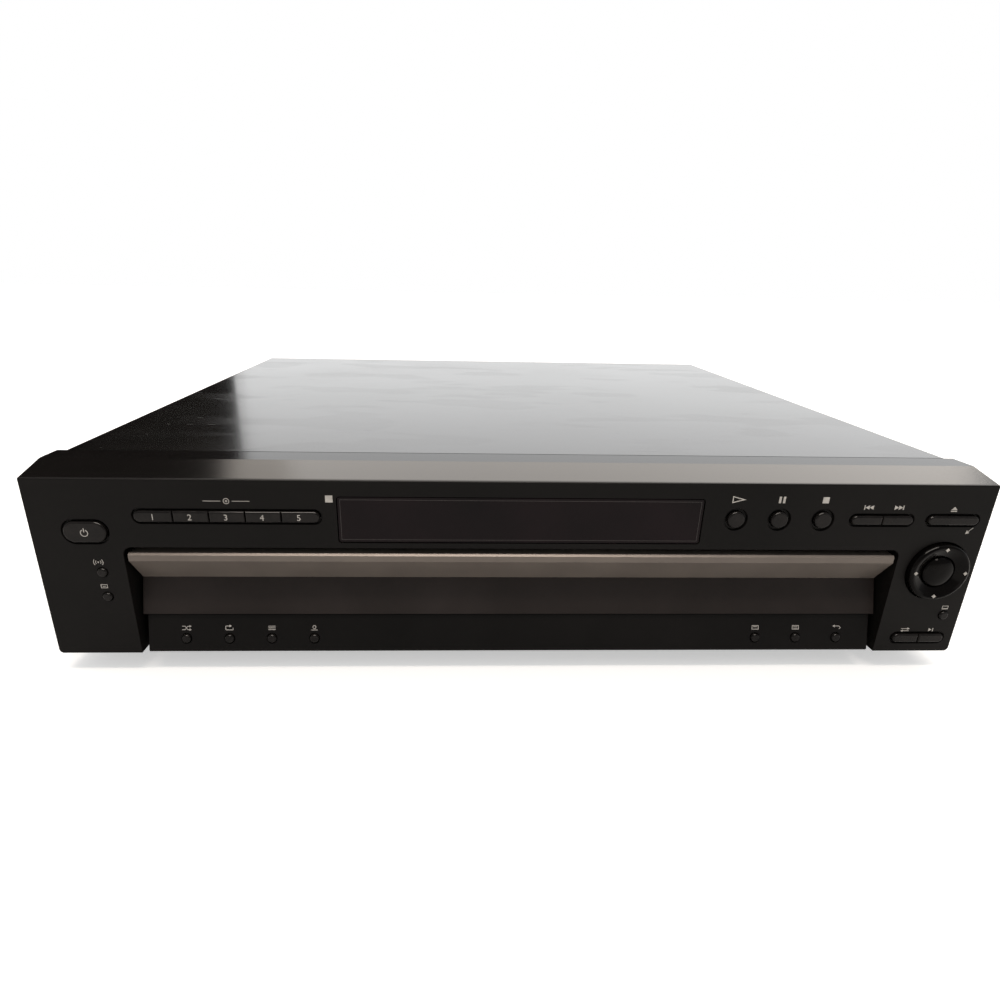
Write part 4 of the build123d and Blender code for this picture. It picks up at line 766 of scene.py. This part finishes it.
def canSleeves(name, places, radius, bottom, height):
    # a shrunk sleeve folded over the rim of each can
    profile = [
        (radius + 0.02, 0.3), (radius + 0.15, 0.3), (radius + 0.15, height - 0.3),
        (radius - 0.2, height + 0.1), (radius - 1.0, height + 0.1), (radius - 1.0, height + 0.01),
        (radius + 0.02, height + 0.01), (radius + 0.02, 0.3),
    ]
    spots = [Matrix.Translation((x * mm, y * mm, bottom * mm)) for x, y in places]
    turned(name, profile, spots, "case", "capacitorSleeve", 40)


for kind, bottom in (("small", mainTop), ("big", powerTop)):
    places, radius, height = (boardLook[kind + part] for part in ("Cans", "R", "Height"))
    canSleeves(f"{kind}_capacitor_sleeves", places, radius, bottom, height)
(x, y), (halfX, halfY) = boardLook["coil"], boardLook["coilHalf"]
coilLow = (x - halfX, y - halfY, powerTop + boardLook["coilLow"])
coilHigh = (x + halfX, y + halfY, powerTop + boardLook["coilHigh"])
onBoard("coil_tape", [(coilLow, coilHigh)], "coilTape", boardLook["coilEdge"])
x, sinkY = boardLook["sink"]
finLow, finHigh = powerTop + boardLook["finLow"], powerTop + boardLook["finHigh"]
fins = []
for count in range(boardLook["fins"]):
    y = sinkY + (count / (boardLook["fins"] - 1) - 0.5) * boardLook["sinkLength"]
    low, high = y - boardLook["finHalf"], y + boardLook["finHalf"]
    for side in (-1, 1):
        near, far = x + side * boardLook["finIn"], x + side * boardLook["finOut"]
        fins.append(((near, low, finLow), (far, high, finHigh)))
onBoard("heat_sink_fins", fins, "anodised", boardLook["finEdge"])
print("parts on the boards")

# camera solved from the corners of the front and the cover
cameraLook = {
    "place": (-0.0312, -0.4650, 0.1787),
    "yaw": -2.47, "pitch": -21.23, "roll": -1.19,
    "lens": 23.17, "shiftX": 0.0222, "shiftY": 0.0272, "nearest": 0.01,
}
camera = bpy.data.objects.new("camera", bpy.data.cameras.new("camera"))
bpy.context.scene.collection.objects.link(camera)
yaw, pitch, roll = (math.radians(cameraLook[k]) for k in ("yaw", "pitch", "roll"))
turn = Matrix.Rotation(yaw, 3, "Z") @ Matrix.Rotation(pitch, 3, "X") @ Matrix.Rotation(roll, 3, "Y")
# the camera looks along the turned Y, with the turned Z up
axes = Matrix((turn.col[0], turn.col[2], -turn.col[1])).transposed()
camera.matrix_world = Matrix.Translation(cameraLook["place"]) @ axes.to_4x4()
camera.data.lens = cameraLook["lens"]
camera.data.shift_x, camera.data.shift_y = cameraLook["shiftX"], cameraLook["shiftY"]
camera.data.clip_start = cameraLook["nearest"]
bpy.context.scene.camera = camera


def softLight(name, size, place, aim, power, colour):
    light = bpy.data.lights.new(name, "AREA")
    light.shape = "RECTANGLE"
    light.size, light.size_y = size
    light.energy = power
    light.color = linearColour(colour)[:3]
    lamp = bpy.data.objects.new(name, light)
    bpy.context.scene.collection.objects.link(lamp)
    lamp.location = place
    lamp.rotation_euler = (Vector(aim) - Vector(place)).to_track_quat("-Z", "Z").to_euler()
    lamp.visible_camera = False
    return lamp


# sizes and places in metres, power in watts: a weak wide light behind gives the cover its sheen, one
# high behind lights the sloped band, one above the front opens the shadows, and one for gloss alone
# draws the rims of the keys
softLight("lightBehind", (4.4, 1.3), (1.35, 2.1, 0.75), (1.35, 0.0, 0.5), 3.0, "#f4f8fb")
softLight("lightOverhead", (2.5, 1.2), (0.5, 0.9, 1.5), (0.5, -0.1, 0.1), 23, "#fff6ec")
softLight("lightFront", (0.9, 0.15), (-0.1, -0.55, 1.3), (-0.1, -0.2, 0.05), 6, "#fff4ea")
glossLight = softLight("lightRims", (1.1, 0.8), (-0.05, -0.62, 1.35), (-0.05, -0.3, 0.05), 31, "#fff4ea")
glossLight.visible_diffuse = False

# white to the camera and in glass; in gloss it is white behind and falls off towards the front
worldLook = {"frontGloss": 0.3, "dimY": -0.5, "whiteY": 0.2, "diffuse": 0.6}
world = bpy.data.worlds.new("studio")
bpy.context.scene.world = world
world.use_nodes = True
tree = world.node_tree
tree.nodes.clear()
ray = addNode(tree, "ShaderNodeLightPath").outputs
skyWay = addNode(tree, "ShaderNodeTexCoord").outputs["Generated"]
towardsY = addNode(tree, "ShaderNodeSeparateXYZ", links={0: skyWay}).outputs["Y"]
ends = {"From Min": worldLook["dimY"], "From Max": worldLook["whiteY"], "To Min": worldLook["frontGloss"]}
glossPart = combine(tree, "MULTIPLY", ray["Is Glossy Ray"], remap(tree, towardsY, ends))
seenPart = combine(tree, "MAXIMUM", ray["Is Camera Ray"], ray["Is Transmission Ray"])
diffusePart = combine(tree, "MULTIPLY", ray["Is Diffuse Ray"], worldLook["diffuse"])
level = combine(tree, "MAXIMUM", combine(tree, "MAXIMUM", seenPart, glossPart), diffusePart)
sky = addNode(tree, "ShaderNodeBackground", {"Color": (1, 1, 1, 1)}, {"Strength": level})
addNode(tree, "ShaderNodeOutputWorld", links={"Surface": sky.outputs[0]})


def stagePlane(name, corners, colour, rough, specular):
    mesh = bpy.data.meshes.new(name)
    mesh.from_pydata(corners, [], [(0, 1, 2, 3)])
    plane = bpy.data.objects.new(name, mesh)
    bpy.context.scene.collection.objects.link(plane)
    material, tree, shader, place = newMaterial(name)
    shader.inputs["Base Color"].default_value = linearColour(colour)
    shader.inputs["Roughness"].default_value = rough
    shader.inputs["Specular IOR Level"].default_value = specular
    mesh.materials.append(material)
    return plane, tree, shader


# plain floor: it takes the shadow, and glows a little to the camera alone so that its far end is as white
floorLook = {"colour": "#f2f1ef", "rough": 0.9, "specular": 0.1, "reach": 8.0, "glow": 0.48}
reach = floorLook["reach"]
floorCorners = [(-reach, -reach, 0), (reach, -reach, 0), (reach, reach, 0), (-reach, reach, 0)]
floorTree, floorShader = stagePlane(
    "floor", floorCorners, floorLook["colour"], floorLook["rough"], floorLook["specular"]
)[1:]
floorShader.inputs["Emission Color"].default_value = (1, 1, 1, 1)
seenRay = addNode(floorTree, "ShaderNodeLightPath").outputs["Is Camera Ray"]
glow = combine(floorTree, "MULTIPLY", seenRay, floorLook["glow"])
floorTree.links.new(glow, floorShader.inputs["Emission Strength"])

# a dark card stands behind on the left, for gloss alone: the left of the cover mirrors it
cardLook = {
    "colour": "#0c0c0c", "rough": 1.0, "specular": 0.0,
    "left": -5.0, "right": -0.86, "y": 2.05, "low": -0.2, "high": 4.0,
}
left, right, cardY = cardLook["left"], cardLook["right"], cardLook["y"]
low, high = cardLook["low"], cardLook["high"]
cardCorners = [(left, cardY, low), (right, cardY, low), (right, cardY, high), (left, cardY, high)]
card = stagePlane("darkCard", cardCorners, cardLook["colour"], cardLook["rough"], cardLook["specular"])[0]
card.visible_camera = card.visible_diffuse = card.visible_shadow = False
print("camera, lights and floor")

bpy.context.scene.view_settings.view_transform = "Standard"
